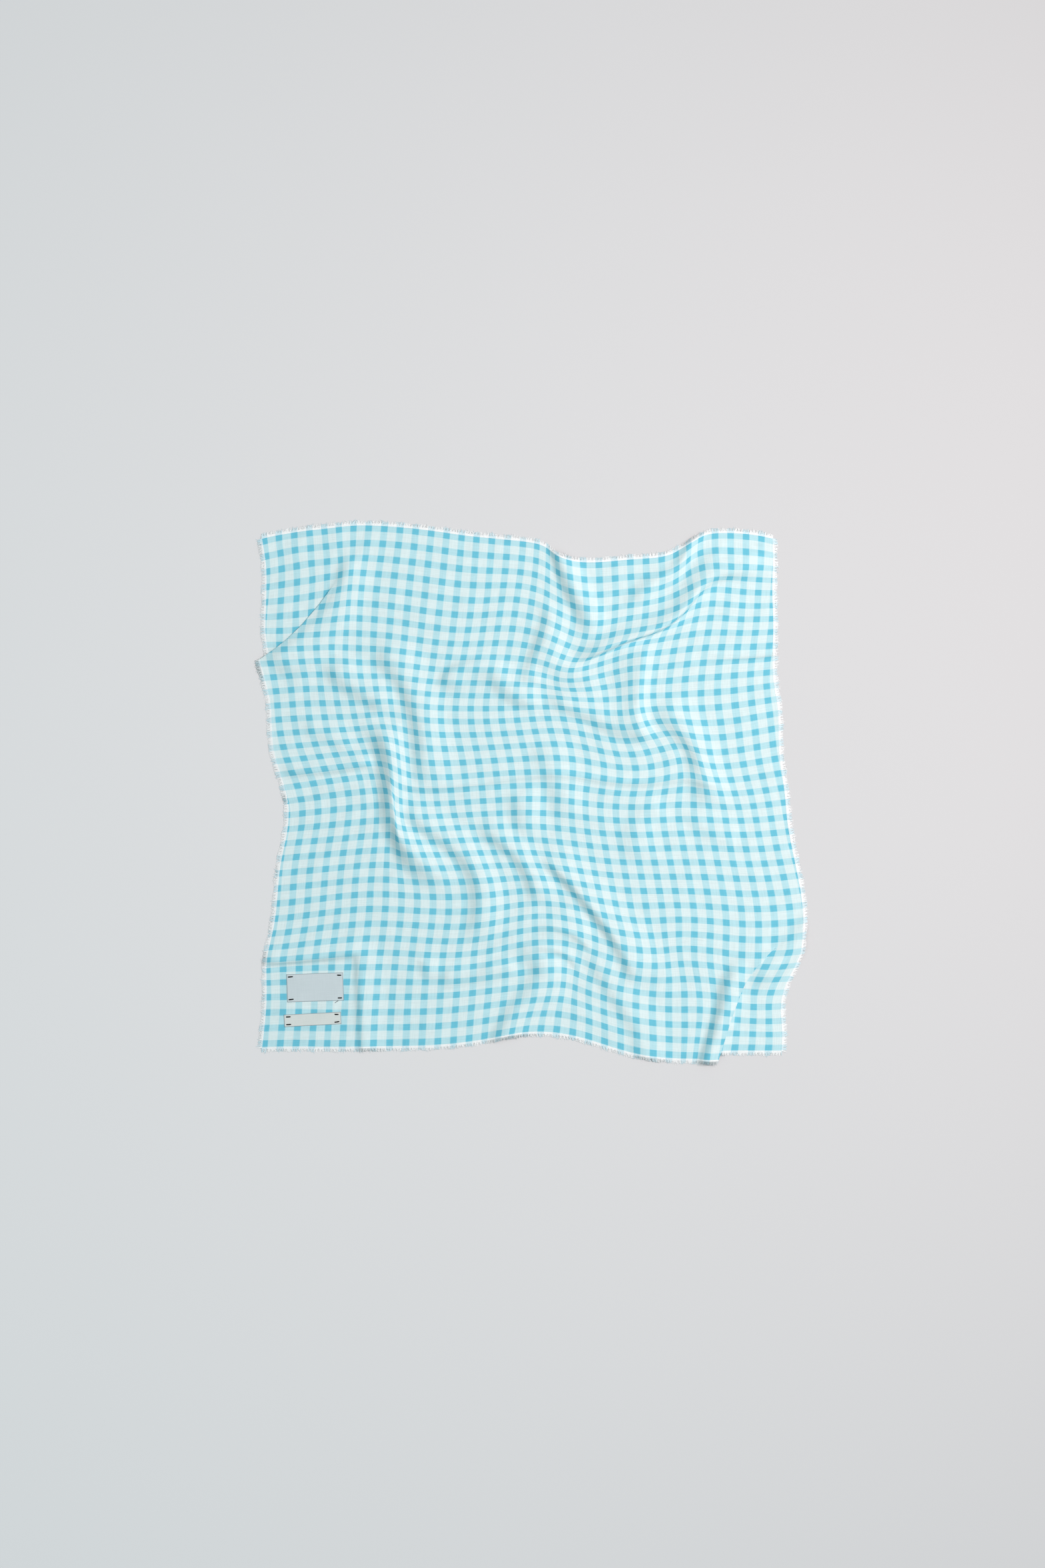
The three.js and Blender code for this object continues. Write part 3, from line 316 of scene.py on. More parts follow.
@dataclass(frozen=True)
class Tuck:
    """A corner folded under the cloth in a flat pleat of three layers, in millimetres.

    The pleat's line runs from its apex inside the cloth to the hem, both a column and a row. Side
    is 1 or -1 for the side of the line that the corner lies on. The pleat reaches its width over
    the length opens. Roll and swell shape the top layer where it comes down from the pleat. Bow
    is how far the fold strays from the straight line. Its widest place is nearer the apex where
    bow_place is below 1, and nearer the hem where it is above.
    """

    name: str
    apex: tuple[float, float]
    hem: tuple[float, float]
    side: int
    width: float
    opens: float
    roll: float
    swell: float
    bow: float
    bow_place: float

    @property
    def span(self) -> tuple[float, float]:
        """The step from the apex to the hem, across and down the flat cloth."""
        return (
            (self.hem[0] - self.apex[0]) * CHECK_ACROSS,
            (self.hem[1] - self.apex[1]) * CHECK_DOWN,
        )

    @property
    def line(self) -> tuple[float, float]:
        """The way along the pleat from its apex, as a step of length 1."""
        dx, dy = self.span
        length = math.hypot(dx, dy)
        return dx / length, dy / length

    @property
    def to_corner(self) -> tuple[float, float]:
        """The way from the pleat to the corner, square to its line."""
        along = self.line
        return -along[1] * self.side, along[0] * self.side

    @property
    def quarter(self) -> float:
        """The length of a quarter turn of cloth round a fold line."""
        return math.pi / 2 * LAYER_REACH

    def measure(self, column: Array, row: Array) -> tuple[Array, Array]:
        """Gives how far some places are across the straight line of the pleat, and along it."""
        x = column * CHECK_ACROSS - self.apex[0] * CHECK_ACROSS
        y = row * CHECK_DOWN - self.apex[1] * CHECK_DOWN
        across = x * self.to_corner[0] + y * self.to_corner[1]
        return across, x * self.line[0] + y * self.line[1]

    def curve(self, down: Array) -> Array:
        """Gives how far across the straight line the bowed fold runs."""
        share = np.clip(down / math.hypot(*self.span), 0.0, 1.0)
        return self.bow * np.sin(np.pi * share**self.bow_place)

    def fold(self, column: Array, row: Array) -> tuple[Array, Array, Array]:
        """Folds some places of the cloth.

        Args:
            column: The places' columns.
            row: Their rows.

        Returns:
            The column and row of the unfolded cloth that each place comes to lie over, and how
            high above it.
        """
        across, down = self.measure(column, row)
        across = across - self.curve(down)
        quarter = self.quarter
        opened_width = self.width * ease(down / self.opens)
        opened = ease(opened_width / (2 * quarter))
        width = np.maximum(opened_width, 2 * quarter)
        turn = across / LAYER_REACH
        second_turn = (across - width) / LAYER_REACH
        zones = [
            across < -quarter,
            across < quarter,
            across < width - quarter,
            across < width + quarter,
        ]
        folded = np.select(
            zones,
            [
                across,
                LAYER_REACH * np.cos(turn) - quarter,
                -across,
                quarter - width - LAYER_REACH * np.cos(second_turn),
            ],
            across - 2 * width,
        )
        height = np.select(
            zones,
            [
                self._roll((-across - quarter) / self.roll),
                LAYER_REACH * (3 - np.sin(turn)),
                np.full(across.shape, 2 * LAYER_REACH),
                LAYER_REACH * (1 - np.sin(second_turn)),
            ],
            0.0,
        )
        move = opened * (folded - across)
        return (
            column + move * self.to_corner[0] / CHECK_ACROSS,
            row + move * self.to_corner[1] / CHECK_DOWN,
            opened * height,
        )

    def _roll(self, share: Array) -> Array:
        """Gives the height of the top layer where it comes down from the pleat."""
        along = np.clip(share, 0.0, 1.0)
        crown = 4 * LAYER_REACH + self.swell * np.sin(np.pi * along)
        return crown * (1 - ease((along - 0.35) / 0.65))


TUCKS = (
    Tuck("right tuck", apex=(33.6, 28.2), hem=(29.8, 36.6), side=-1,
         width=13, opens=80, roll=34, swell=1, bow=-20, bow_place=0.8),
    Tuck("left tuck", apex=(4.9, 3), hem=(0.1, 8.8), side=1,
         width=9, opens=100, roll=24, swell=0.5, bow=-11, bow_place=1.4),
)


@dataclass(frozen=True)
class Section:
    """Where some columns of one row of the weave come to rest, in millimetres from the middle."""

    row: float
    column: tuple[float, ...]
    x: tuple[float, ...]
    y: tuple[float, ...]


SECTIONS = (
    Section(-0.23, column=(-0.22, 3, 6, 9, 12, 15, 18, 19.4, 21),
            x=(-342, -281, -225, -166, -107, -50, 7, 26, 46),
            y=(322, 333, 339, 337, 330, 323, 316, 306, 295)),
    Section(-0.23, column=(23, 25, 27, 28.3, 29.4, 31, 33, 34.78),
            x=(86, 124, 165, 188, 202, 233, 271, 306),
            y=(293, 296, 301, 306, 323, 328, 329, 322)),
    Section(4, column=(-0.02, 3, 6, 12, 18, 22, 25, 28, 30, 32, 35),
            x=(-338, -277, -230, -115, 0, 70, 124, 181, 213, 249, 306),
            y=(241, 249, 259, 247, 241, 215, 221, 236, 254, 256, 253)),
    Section(7, column=(0.2, 1), x=(-337, -317), y=(188, 187)),
    Section(9, column=(0.3, 3, 6, 12, 18, 24, 26, 27, 30, 35.37),
            x=(-343, -290, -235, -126, -16, 88, 125, 140, 197, 306),
            y=(163, 166, 166, 157, 153, 148, 157, 158, 163, 170)),
    Section(11, column=(26, 27), x=(127, 137), y=(121, 121)),
    Section(13, column=(0.47, 3, 6, 9, 12, 18, 22, 24, 26, 28, 30, 35.57),
            x=(-330, -281, -224, -176, -131, -18, 60, 98, 130, 162, 199, 313),
            y=(92, 95, 97, 99, 92, 92, 91, 84, 84, 91, 89, 101)),
    Section(15, column=(26, 28, 30), x=(147, 181, 208), y=(51, 59, 54)),
    Section(17.5, column=(0.19, 3, 6, 12, 18, 24, 28, 30, 35.27),
            x=(-316, -258, -204, -122, -4, 110, 188, 220, 319),
            y=(15, 23, 29, 11, 18, 8, 13, 10, 16)),
    Section(20, column=(0.06,), x=(-308,), y=(-28,)),
    Section(22, column=(0.04, 3, 6, 9, 12, 18, 24, 30, 35.03),
            x=(-313, -255, -197, -159, -107, -1, 113, 232, 330),
            y=(-64, -59, -54, -63, -61, -59, -70, -70, -67)),
    Section(26, column=(-0.04, 6, 12, 18, 24, 30, 34.9),
            x=(-323, -204, -85, 19, 125, 245, 344),
            y=(-140, -128, -131, -124, -142, -145, -142)),
    Section(28, column=(34.8,), x=(343,), y=(-180,)),
    Section(30.5, column=(-0.1, 6, 12, 18, 24, 28),
            x=(-336, -212, -93, 24, 136, 208),
            y=(-218, -211, -213, -197, -226, -226)),
    Section(32, column=(33, 34.83), x=(282, 320), y=(-252, -252)),
    Section(33, column=(-0.13, 6, 12, 18, 22, 27),
            x=(-336, -216, -95, 24, 91, 194),
            y=(-258, -258, -255, -242, -259, -274)),
    Section(36.3, column=(-0.18, 3, 6, 9, 12, 15, 18, 21, 24, 27, 28.6, 31, 34.83),
            x=(-342, -278, -220, -159, -99, -42, 11, 72, 133, 193, 214, 237, 317),
            y=(-323, -322, -322, -321, -318, -309, -303, -313, -331, -337, -338, -327, -327)),
)


def side_cut(row: Array, side: str) -> Array:
    """Gives the column that a side hem is cut at.

    Args:
        row: The rows to give it for.
        side: The hem, left or right.

    Returns:
        The columns, drawn smoothly through the table.
    """
    rows = np.array([cut.row for cut in SIDE_CUTS])
    columns = np.array([getattr(cut, side) for cut in SIDE_CUTS])
    padded_rows = np.concatenate([rows[:1], rows, rows[-1:]])
    padded = np.concatenate([columns[:1], columns, columns[-1:]])
    slopes = (padded[2:] - padded[:-2]) / (padded_rows[2:] - padded_rows[:-2])
    k = np.clip(np.searchsorted(rows, row, side="left") - 1, 0, len(rows) - 2)
    span = rows[k + 1] - rows[k]
    t = (row - rows[k]) / span
    bend = t * (1 - t) ** 2 * slopes[k] - t * t * (1 - t) * slopes[k + 1]
    return columns[k] + (columns[k + 1] - columns[k]) * t * t * (3 - 2 * t) + bend * span


@dataclass
class ClothNet:
    """The net of warp and weft threads that finds where the cloth lies.

    The threads resist being stretched, give way more when they are pushed together, and shear
    freely. The landmarks draw the net to the places that they rest at, and win where the two
    disagree, so the threads come out a few per cent short on average.
    """

    ridges: tuple[Ridge, ...]
    margin: float = 0.4
    sizes: tuple[int, ...] = (47, 93)
    passes: tuple[int, ...] = (300, 110)
    landmark_reach: float = 2.6
    landmark_pull: float = 0.5
    taut_stiffness: float = 0.5
    slack_stiffness: float = 0.06
    bend_stiffness: float = 0.06
    least_plan: float = 0.12
    x: Array = field(init=False)
    y: Array = field(init=False)

    def __post_init__(self) -> None:
        """Solves the coarse net and then the finer one."""
        self.left = min(cut.left for cut in SIDE_CUTS) - self.margin
        self.right = max(cut.right for cut in SIDE_CUTS) + self.margin
        self.top = TOP - self.margin
        self.bottom = BOTTOM + self.margin
        self.marks = self._landmarks()
        for size, passes in zip(self.sizes, self.passes):
            columns, rows = np.meshgrid(
                np.linspace(self.left, self.right, size),
                np.linspace(self.top, self.bottom, size),
                indexing="ij",
            )
            if size == self.sizes[0]:
                start = self._even_start(columns, rows)
            else:
                start = (self.place(columns, rows, "x"), self.place(columns, rows, "y"))
            self.x, self.y = self._relax(columns, rows, start, passes)

    def heights(self, column: Array, row: Array) -> tuple[Array, Array, Array]:
        """Adds up the ridges' heights and leans at some places."""
        total = [np.zeros(np.shape(column)) for _ in range(3)]
        for ridge in self.ridges:
            total = [a + b for a, b in zip(total, ridge.lift(column, row))]
        return total[0], total[1], total[2]

    def place(self, column: Array, row: Array, axis: str) -> Array:
        """Reads the net smoothly between its nodes.

        Args:
            column: The columns to read it at.
            row: The rows.
            axis: The coordinate, x or y.

        Returns:
            The coordinate in millimetres.
        """
        values = getattr(self, axis)
        size = values.shape[0]
        u = (column - self.left) / (self.right - self.left) * (size - 1)
        v = (row - self.top) / (self.bottom - self.top) * (size - 1)
        i = np.clip(np.floor(u).astype(int), 0, size - 2)
        j = np.clip(np.floor(v).astype(int), 0, size - 2)
        lines = []
        for down in (-1, 0, 1, 2):
            at_row = np.clip(j + down, 0, size - 1)
            knots = [values[np.clip(i + across, 0, size - 1), at_row] for across in (-1, 0, 1, 2)]
            lines.append(catmull_rom(*knots, u - i))
        return catmull_rom(*lines, v - j)

    def _landmarks(self) -> Array:
        """Lists the landmarks as rows of column, row, x and y, on the folded cloth."""
        rows = []
        for section in SECTIONS:
            for column, x, y in zip(section.column, section.x, section.y):
                flat_column, flat_row, _ = fold_flat(np.array([column]), np.array([section.row]))
                rows.append((flat_column[0], flat_row[0], x, y))
        return np.array(rows, dtype=float)

    def _even(self, column: Array, row: Array) -> tuple[Array, Array]:
        """Gives where an even, unrumpled net would have its nodes."""
        x = (column - (self.left + self.right) / 2) * CHECK_ACROSS
        return x, ((self.top + self.bottom) / 2 - row) * CHECK_DOWN

    def _even_start(self, column: Array, row: Array) -> tuple[Array, Array]:
        """Starts from an even net, moved as the landmarks around each node are."""
        marks = self.marks
        apart = (column[..., None] - marks[:, 0]) ** 2 + (row[..., None] - marks[:, 1]) ** 2
        share = 1 / (apart + 4) ** 1.5
        share /= share.sum(-1, keepdims=True)
        even_x, even_y = self._even(marks[:, 0], marks[:, 1])
        x, y = self._even(column, row)
        return x + share @ (marks[:, 2] - even_x), y + share @ (marks[:, 3] - even_y)

    def _relax(
        self, column: Array, row: Array, start: tuple[Array, Array], passes: int
    ) -> tuple[Array, Array]:
        """Lets the net settle.

        Args:
            column: The nodes' columns.
            row: Their rows.
            start: The nodes' coordinates to start from.
            passes: How many times each thread is set right.

        Returns:
            The nodes' coordinates once settled.
        """
        x, y = (values.copy() for values in start)
        size = x.shape[0]
        height = self.heights(column, row)[0]
        flat = (
            (self.right - self.left) * CHECK_ACROSS / (size - 1),
            (self.bottom - self.top) * CHECK_DOWN / (size - 1),
        )
        plans = [
            np.sqrt(
                np.maximum(
                    flat[axis] ** 2 - np.diff(height, axis=axis) ** 2,
                    (self.least_plan * flat[axis]) ** 2,
                )
            )
            for axis in (0, 1)
        ]
        marks = self.marks
        apart = (column[..., None] - marks[:, 0]) ** 2 + (row[..., None] - marks[:, 1]) ** 2
        pulls = np.exp(-apart / self.landmark_reach**2)
        pulls /= np.maximum(pulls.sum(-1, keepdims=True), 1.0)
        u = (marks[:, 0] - self.left) / (self.right - self.left) * (size - 1)
        v = (marks[:, 1] - self.top) / (self.bottom - self.top) * (size - 1)
        i, j = np.floor(u).astype(int), np.floor(v).astype(int)
        fu, fv = u - i, v - j
        for _ in range(passes):
            for axis, plan in enumerate(plans):
                for parity in (0, 1):
                    self._set_threads(x, y, plan, axis, parity)
            for values, target in ((x, marks[:, 2]), (y, marks[:, 3])):
                bend = np.zeros_like(values)
                bend[1:-1] += (values[2:] + values[:-2]) / 2 - values[1:-1]
                bend[:, 1:-1] += (values[:, 2:] + values[:, :-2]) / 2 - values[:, 1:-1]
                values += self.bend_stiffness * bend
                near = (1 - fu) * (1 - fv) * values[i, j] + fu * (1 - fv) * values[i + 1, j]
                near += (1 - fu) * fv * values[i, j + 1] + fu * fv * values[i + 1, j + 1]
                values += self.landmark_pull * (pulls @ (target - near))
        return x, y

    def _set_threads(self, x: Array, y: Array, plan: Array, axis: int, parity: int) -> None:
        """Brings every second thread of one direction towards its length."""
        size = x.shape[0]
        first = [slice(None), slice(None)]
        second = [slice(None), slice(None)]
        first[axis] = slice(parity, size - 1, 2)
        second[axis] = slice(parity + 1, size, 2)
        wanted = plan[tuple(first)]
        a, b = tuple(first), tuple(second)
        dx, dy = x[b] - x[a], y[b] - y[a]
        length = np.maximum(np.hypot(dx, dy), 1e-6)
        stiffness = np.where(length > wanted, self.taut_stiffness, self.slack_stiffness)
        share = stiffness * (length - wanted) / length
        x[a] += share * dx
        y[a] += share * dy
        x[b] -= share * dx
        y[b] -= share * dy


def fold_flat(column: Array, row: Array) -> tuple[Array, Array, Array]:
    """Folds the tucked corners flat.

    Args:
        column: Columns of places in the cloth.
        row: Their rows.

    Returns:
        The column and row that each comes to lie over, and its height from the folds alone.
    """
    height = np.zeros(np.shape(column))
    for tuck in TUCKS:
        column, row, rise = tuck.fold(column, row)
        height = height + rise
    return column, row, height


@dataclass
class ClothShape:
    """The rumpled cloth as one smooth surface over its columns and rows, in metres."""

    net: ClothNet
    crumple_height: float = 0.6
    crumple_waves: int = 7
    crumple_lengths: tuple[float, float] = (22, 48)
    crumple_bend: float = 7
    crumple_seed: int = 11
    shift: Array = field(init=False)

    def __post_init__(self) -> None:
        """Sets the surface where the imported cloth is."""
        self.shift = np.zeros(3)
        rows, across = np.meshgrid(np.linspace(TOP, BOTTOM, 48), np.linspace(0, 1, 48))
        left, right = side_cut(rows, "left"), side_cut(rows, "right")
        points = self.points(left + (right - left) * across, rows).reshape(-1, 3)
        low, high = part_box("scarf_cloth")
        middle = (np.array(low) + np.array(high)) / 2
        self.shift = middle - (points.min(axis=0) + points.max(axis=0)) / 2
        self.shift[2] = low[2]

    def points(self, column: Array, row: Array) -> Array:
        """Places some points of the cloth's middle surface.

        Args:
            column: Their columns.
            row: Their rows.

        Returns:
            Their coordinates in metres, along the last axis.
        """
        flat_column, flat_row, rise = fold_flat(column, row)
        height, across, down = self.net.heights(flat_column, flat_row)
        x = self.net.place(flat_column, flat_row, "x") + across
        y = self.net.place(flat_column, flat_row, "y") - down
        z = CLOTH_THICK / 2 + height + rise + self.crumple(flat_column, flat_row)
        return np.stack([x, y, z], axis=-1) * MM + self.shift

    def crumple(self, column: Array, row: Array) -> Array:
        """Gives the height of the faint crumples that thin cotton keeps from handling."""
        rng = np.random.default_rng(self.crumple_seed)
        total = np.zeros(np.shape(column))
        for _ in range(self.crumple_waves):
            heading, phase = rng.uniform(0, 2 * np.pi, 2)
            length = rng.uniform(*self.crumple_lengths)
            along = column * CHECK_ACROSS * np.cos(heading) + row * CHECK_DOWN * np.sin(heading)
            beside = column * np.sin(heading) - row * np.cos(heading)
            bent = along + self.crumple_bend * np.sin(beside / 2 + phase)
            wave = np.sin(2 * np.pi * bent / length + phase)
            total = total + wave / self.crumple_waves**0.5
        return self.crumple_height / 2 * np.logaddexp(0.0, 2 * total)

    def frame_at(self, column: Array, row: Array) -> tuple[Array, Array, Array]:
        """Gives the surface's point, its way across and its way down at some places."""
        step = 0.02
        here = self.points(column, row)
        across = self.points(column + step, row) - self.points(column - step, row)
        down = self.points(column, row + step) - self.points(column, row - step)
        across /= np.maximum(np.linalg.norm(across, axis=-1, keepdims=True), 1e-12)
        down /= np.maximum(np.linalg.norm(down, axis=-1, keepdims=True), 1e-12)
        return here, across, down


def linear(red: int, green: int, blue: int) -> tuple[float, float, float, float]:
    """Turns a colour as seen on a screen into the linear values that materials take."""
    def channel(value: int) -> float:
        """Turns one channel."""
        share = value / 255
        return share / 12.92 if share <= 0.04045 else ((share + 0.055) / 1.055) ** 2.4
    return channel(red), channel(green), channel(blue), 1.0


@dataclass(frozen=True)
class GinghamFinish:
    """Thin cotton woven in white and aqua stripes both ways."""

    both_aqua: tuple[int, int, int] = (115, 203, 226)
    one_aqua: tuple[int, int, int] = (193, 234, 242)
    no_aqua: tuple[int, int, int] = (229, 246, 247)
    stripe: float = 0.43
    edge: float = 0.04
    threads: float = 48.0
    roughness: float = 0.85


@dataclass(frozen=True)
class RibbonFinish:
    """The close-woven ribbon of a label."""

    ground: tuple[int, int, int]
    # The colour of the band along the cut edges: partly the edge's own colour, partly painted
    # shade.
    cut_edge_and_shade_colour: tuple[int, int, int] = (150, 163, 168)
    threads: float = 60.0
    roughness: float = 0.7


@dataclass(frozen=True)
class ThreadFinish:
    """Loose sewing or weaving thread."""

    colour: tuple[int, int, int]
    tint: tuple[int, int, int]
    roughness: float = 0.8


class Wiring:
    """Adds and joins the nodes of one material or group."""

    def __init__(self, tree: bpy.types.NodeTree) -> None:
        """Starts on a node tree."""
        self.tree = tree

    def node(self, kind: str, **settings: object) -> bpy.types.Node:
        """Adds a node and sets its properties."""
        made = self.tree.nodes.new(kind)
        for name, value in settings.items():
            setattr(made, name, value)
        return made

    def join(self, source: object, target: bpy.types.NodeSocket) -> None:
        """Feeds a socket from another, or sets it to a number or colour."""
        if isinstance(source, bpy.types.NodeSocket):
            self.tree.links.new(source, target)
        else:
            target.default_value = source

    def math(self, operation: str, *values: object) -> bpy.types.NodeSocket:
        """Adds a Math node and gives its result."""
        made = self.node("ShaderNodeMath", operation=operation)
        for value, socket in zip(values, made.inputs):
            self.join(value, socket)
        return made.outputs[0]

    def mix(self, share: object, first: object, second: object) -> bpy.types.NodeSocket:
        """Mixes two colours and gives the result."""
        made = self.node("ShaderNodeMix", data_type="RGBA")
        sockets = (made.inputs[0], made.inputs[6], made.inputs[7])
        for value, socket in zip((share, first, second), sockets):
            self.join(value, socket)
        return made.outputs[2]

    def noise(self, vector: object, scale: float, detail: float = 2.0) -> bpy.types.NodeSocket:
        """Adds a noise pattern and gives its value."""
        made = self.node("ShaderNodeTexNoise")
        self.join(vector, made.inputs["Vector"])
        made.inputs["Scale"].default_value = scale
        made.inputs["Detail"].default_value = detail
        return made.outputs["Fac"]

    def stretch(self, vector: object, scale: tuple[float, float, float]) -> bpy.types.NodeSocket:
        """Stretches a pattern's coordinates."""
        made = self.node("ShaderNodeMapping")
        self.join(vector, made.inputs["Vector"])
        made.inputs["Scale"].default_value = scale
        return made.outputs["Vector"]

    def shade(self, shader: bpy.types.Node, colour: object, value: object) -> None:
        """Gives the shader a colour, made lighter or darker by a value near 1."""
        shaded = self.node("ShaderNodeHueSaturation")
        self.join(colour, shaded.inputs["Color"])
        self.join(value, shaded.inputs["Value"])
        self.join(shaded.outputs["Color"], shader.inputs["Base Color"])

    def emboss(
        self, shader: bpy.types.Node, height: object, strength: float, distance: float
    ) -> None:
        """Gives the shader a relief, its depth in metres."""
        bump = self.node("ShaderNodeBump")
        bump.inputs["Strength"].default_value = strength
        bump.inputs["Distance"].default_value = distance
        self.join(height, bump.inputs["Height"])
        self.join(bump.outputs["Normal"], shader.inputs["Normal"])


class Groups:
    """The shader node groups that more than one material uses, each built once."""

    _made: dict[str, bpy.types.NodeTree] = {}

    @classmethod
    def weave(cls) -> bpy.types.NodeTree:
        """Builds the plain weave: its height and the light that slubby threads catch.

        Returns:
            The group, with the inputs Vector and Threads and the outputs Height and Slub.
        """
        if "weave" in cls._made:
            return cls._made["weave"]
        group = bpy.data.node_groups.new("plain weave", "ShaderNodeTree")
        group.interface.new_socket("Vector", in_out="INPUT", socket_type="NodeSocketVector")
        group.interface.new_socket("Threads", in_out="INPUT", socket_type="NodeSocketFloat")
        group.interface.new_socket("Height", in_out="OUTPUT", socket_type="NodeSocketFloat")
        group.interface.new_socket("Slub", in_out="OUTPUT", socket_type="NodeSocketFloat")
        wire = Wiring(group)
        given = wire.node("NodeGroupInput")
        result = wire.node("NodeGroupOutput")
        split = wire.node("ShaderNodeSeparateXYZ")
        wire.join(given.outputs["Vector"], split.inputs[0])
        turns = [
            wire.math(
                "MULTIPLY",
                wire.math("MULTIPLY", split.outputs[k], given.outputs["Threads"]),
                math.pi,
            )
            for k in (0, 1)
        ]
        waves = [wire.math("SINE", turn) for turn in turns]
        bumps = [wire.math("ABSOLUTE", wave) for wave in waves]
        over = wire.math("MULTIPLY", waves[0], waves[1])
        crossing = wire.math("MULTIPLY", wire.math("ADD", over, 1.0), 0.5)
        rounded = wire.math("MULTIPLY", bumps[0], bumps[1])
        height = wire.math("ADD", rounded, wire.math("MULTIPLY", crossing, 0.5))
        warp = wire.noise(wire.stretch(given.outputs["Vector"], (14.0, 0.9, 1.0)), 1.0)
        weft = wire.noise(wire.stretch(given.outputs["Vector"], (0.9, 14.0, 1.0)), 1.0)
        wire.join(height, result.inputs["Height"])
        wire.join(wire.math("MULTIPLY", wire.math("ADD", warp, weft), 0.5), result.inputs["Slub"])
        cls._made["weave"] = group
        return group

    @classmethod
    def stripes(cls) -> bpy.types.NodeTree:
        """Builds the mask of evenly spaced stripes.

        Returns:
            The group, with the inputs Place, Width and Edge and the output Mask.
        """
        if "stripes" in cls._made:
            return cls._made["stripes"]
        group = bpy.data.node_groups.new("woven stripes", "ShaderNodeTree")
        for name in ("Place", "Width", "Edge"):
            group.interface.new_socket(name, in_out="INPUT", socket_type="NodeSocketFloat")
        group.interface.new_socket("Mask", in_out="OUTPUT", socket_type="NodeSocketFloat")
        wire = Wiring(group)
        given = wire.node("NodeGroupInput")
        result = wire.node("NodeGroupOutput")
        moved = wire.math("ADD", given.outputs["Place"], 100.5)
        offset = wire.math("ABSOLUTE", wire.math("SUBTRACT", wire.math("FRACT", moved), 0.5))
        half = wire.math("MULTIPLY", given.outputs["Width"], 0.5)
        soft = wire.node("ShaderNodeMapRange", interpolation_type="SMOOTHSTEP")
        wire.join(offset, soft.inputs["Value"])
        wire.join(wire.math("SUBTRACT", half, given.outputs["Edge"]), soft.inputs["From Min"])
        wire.join(wire.math("ADD", half, given.outputs["Edge"]), soft.inputs["From Max"])
        soft.inputs["To Min"].default_value = 1.0
        soft.inputs["To Max"].default_value = 0.0
        wire.join(soft.outputs["Result"], result.inputs["Mask"])
        cls._made["stripes"] = group
        return group


def new_material(name: str) -> tuple[bpy.types.Material, Wiring, bpy.types.Node]:
    """Starts a material.

    Args:
        name: The finish's name.

    Returns:
        The material, its wiring and its Principled node.
    """
    material = bpy.data.materials.new(name)
    material.use_nodes = True
    shader = material.node_tree.nodes["Principled BSDF"]
    shader.inputs["Specular IOR Level"].default_value = 0.15
    return material, Wiring(material.node_tree), shader


def dress_gingham(finish: GinghamFinish) -> bpy.types.Material:
    """Makes the scarf's cloth.

    Args:
        finish: Its colours and weave.

    Returns:
        The material, which reads the piece's own UV map of columns and rows.
    """
    material, wire, shader = new_material("aqua gingham")
    place = wire.node("ShaderNodeUVMap", uv_map="weave").outputs["UV"]
    split = wire.node("ShaderNodeSeparateXYZ")
    wire.join(place, split.inputs[0])
    wander = wire.noise(place, 3.0)
    masks = []
    for k in (0, 1):
        group = wire.node("ShaderNodeGroup", node_tree=Groups.stripes())
        drift = wire.math("MULTIPLY", wire.math("SUBTRACT", wander, 0.5), 0.02 - 0.04 * k)
        wire.join(wire.math("ADD", split.outputs[k], drift), group.inputs["Place"])
        group.inputs["Width"].default_value = finish.stripe
        group.inputs["Edge"].default_value = finish.edge
        masks.append(group.outputs["Mask"])
    count = wire.math("ADD", masks[0], masks[1])
    single = wire.math("MINIMUM", count, 1.0)
    first = wire.mix(single, linear(*finish.no_aqua), linear(*finish.one_aqua))
    second = wire.math("MAXIMUM", wire.math("SUBTRACT", count, 1.0), 0.0)
    colour = wire.mix(second, first, linear(*finish.both_aqua))
    weave = wire.node("ShaderNodeGroup", node_tree=Groups.weave())
    wire.join(place, weave.inputs["Vector"])
    weave.inputs["Threads"].default_value = finish.threads
    tone = wire.math("MULTIPLY", wire.math("SUBTRACT", weave.outputs["Slub"], 0.5), 0.35)
    wire.shade(shader, colour, wire.math("ADD", tone, 1.0))
    slub = wire.math("MULTIPLY", weave.outputs["Slub"], 1.5)
    relief = wire.math("ADD", weave.outputs["Height"], slub)
    wire.emboss(shader, relief, strength=0.25, distance=0.0002)
    shader.inputs["Roughness"].default_value = finish.roughness
    shader.inputs["Sheen Weight"].default_value = 0.08
    return material


def dress_thread(name: str, finish: ThreadFinish) -> bpy.types.Material:
    """Makes loose thread, whose tint follows the piece's own tint attribute.

    Args:
        name: The finish's name.
        finish: Its colours.

    Returns:
        The material.
    """
    material, wire, shader = new_material(name)
    tint = wire.node("ShaderNodeAttribute", attribute_name="tint").outputs["Fac"]
    place = wire.node("ShaderNodeTexCoord").outputs["Object"]
    fibre = wire.noise(place, 900.0)
    colour = wire.mix(tint, linear(*finish.colour), linear(*finish.tint))
    wire.shade(shader, colour, wire.math("ADD", wire.math("MULTIPLY", fibre, 0.2), 0.9))
    wire.emboss(shader, fibre, strength=0.3, distance=0.0001)
    shader.inputs["Roughness"].default_value = finish.roughness
    return material


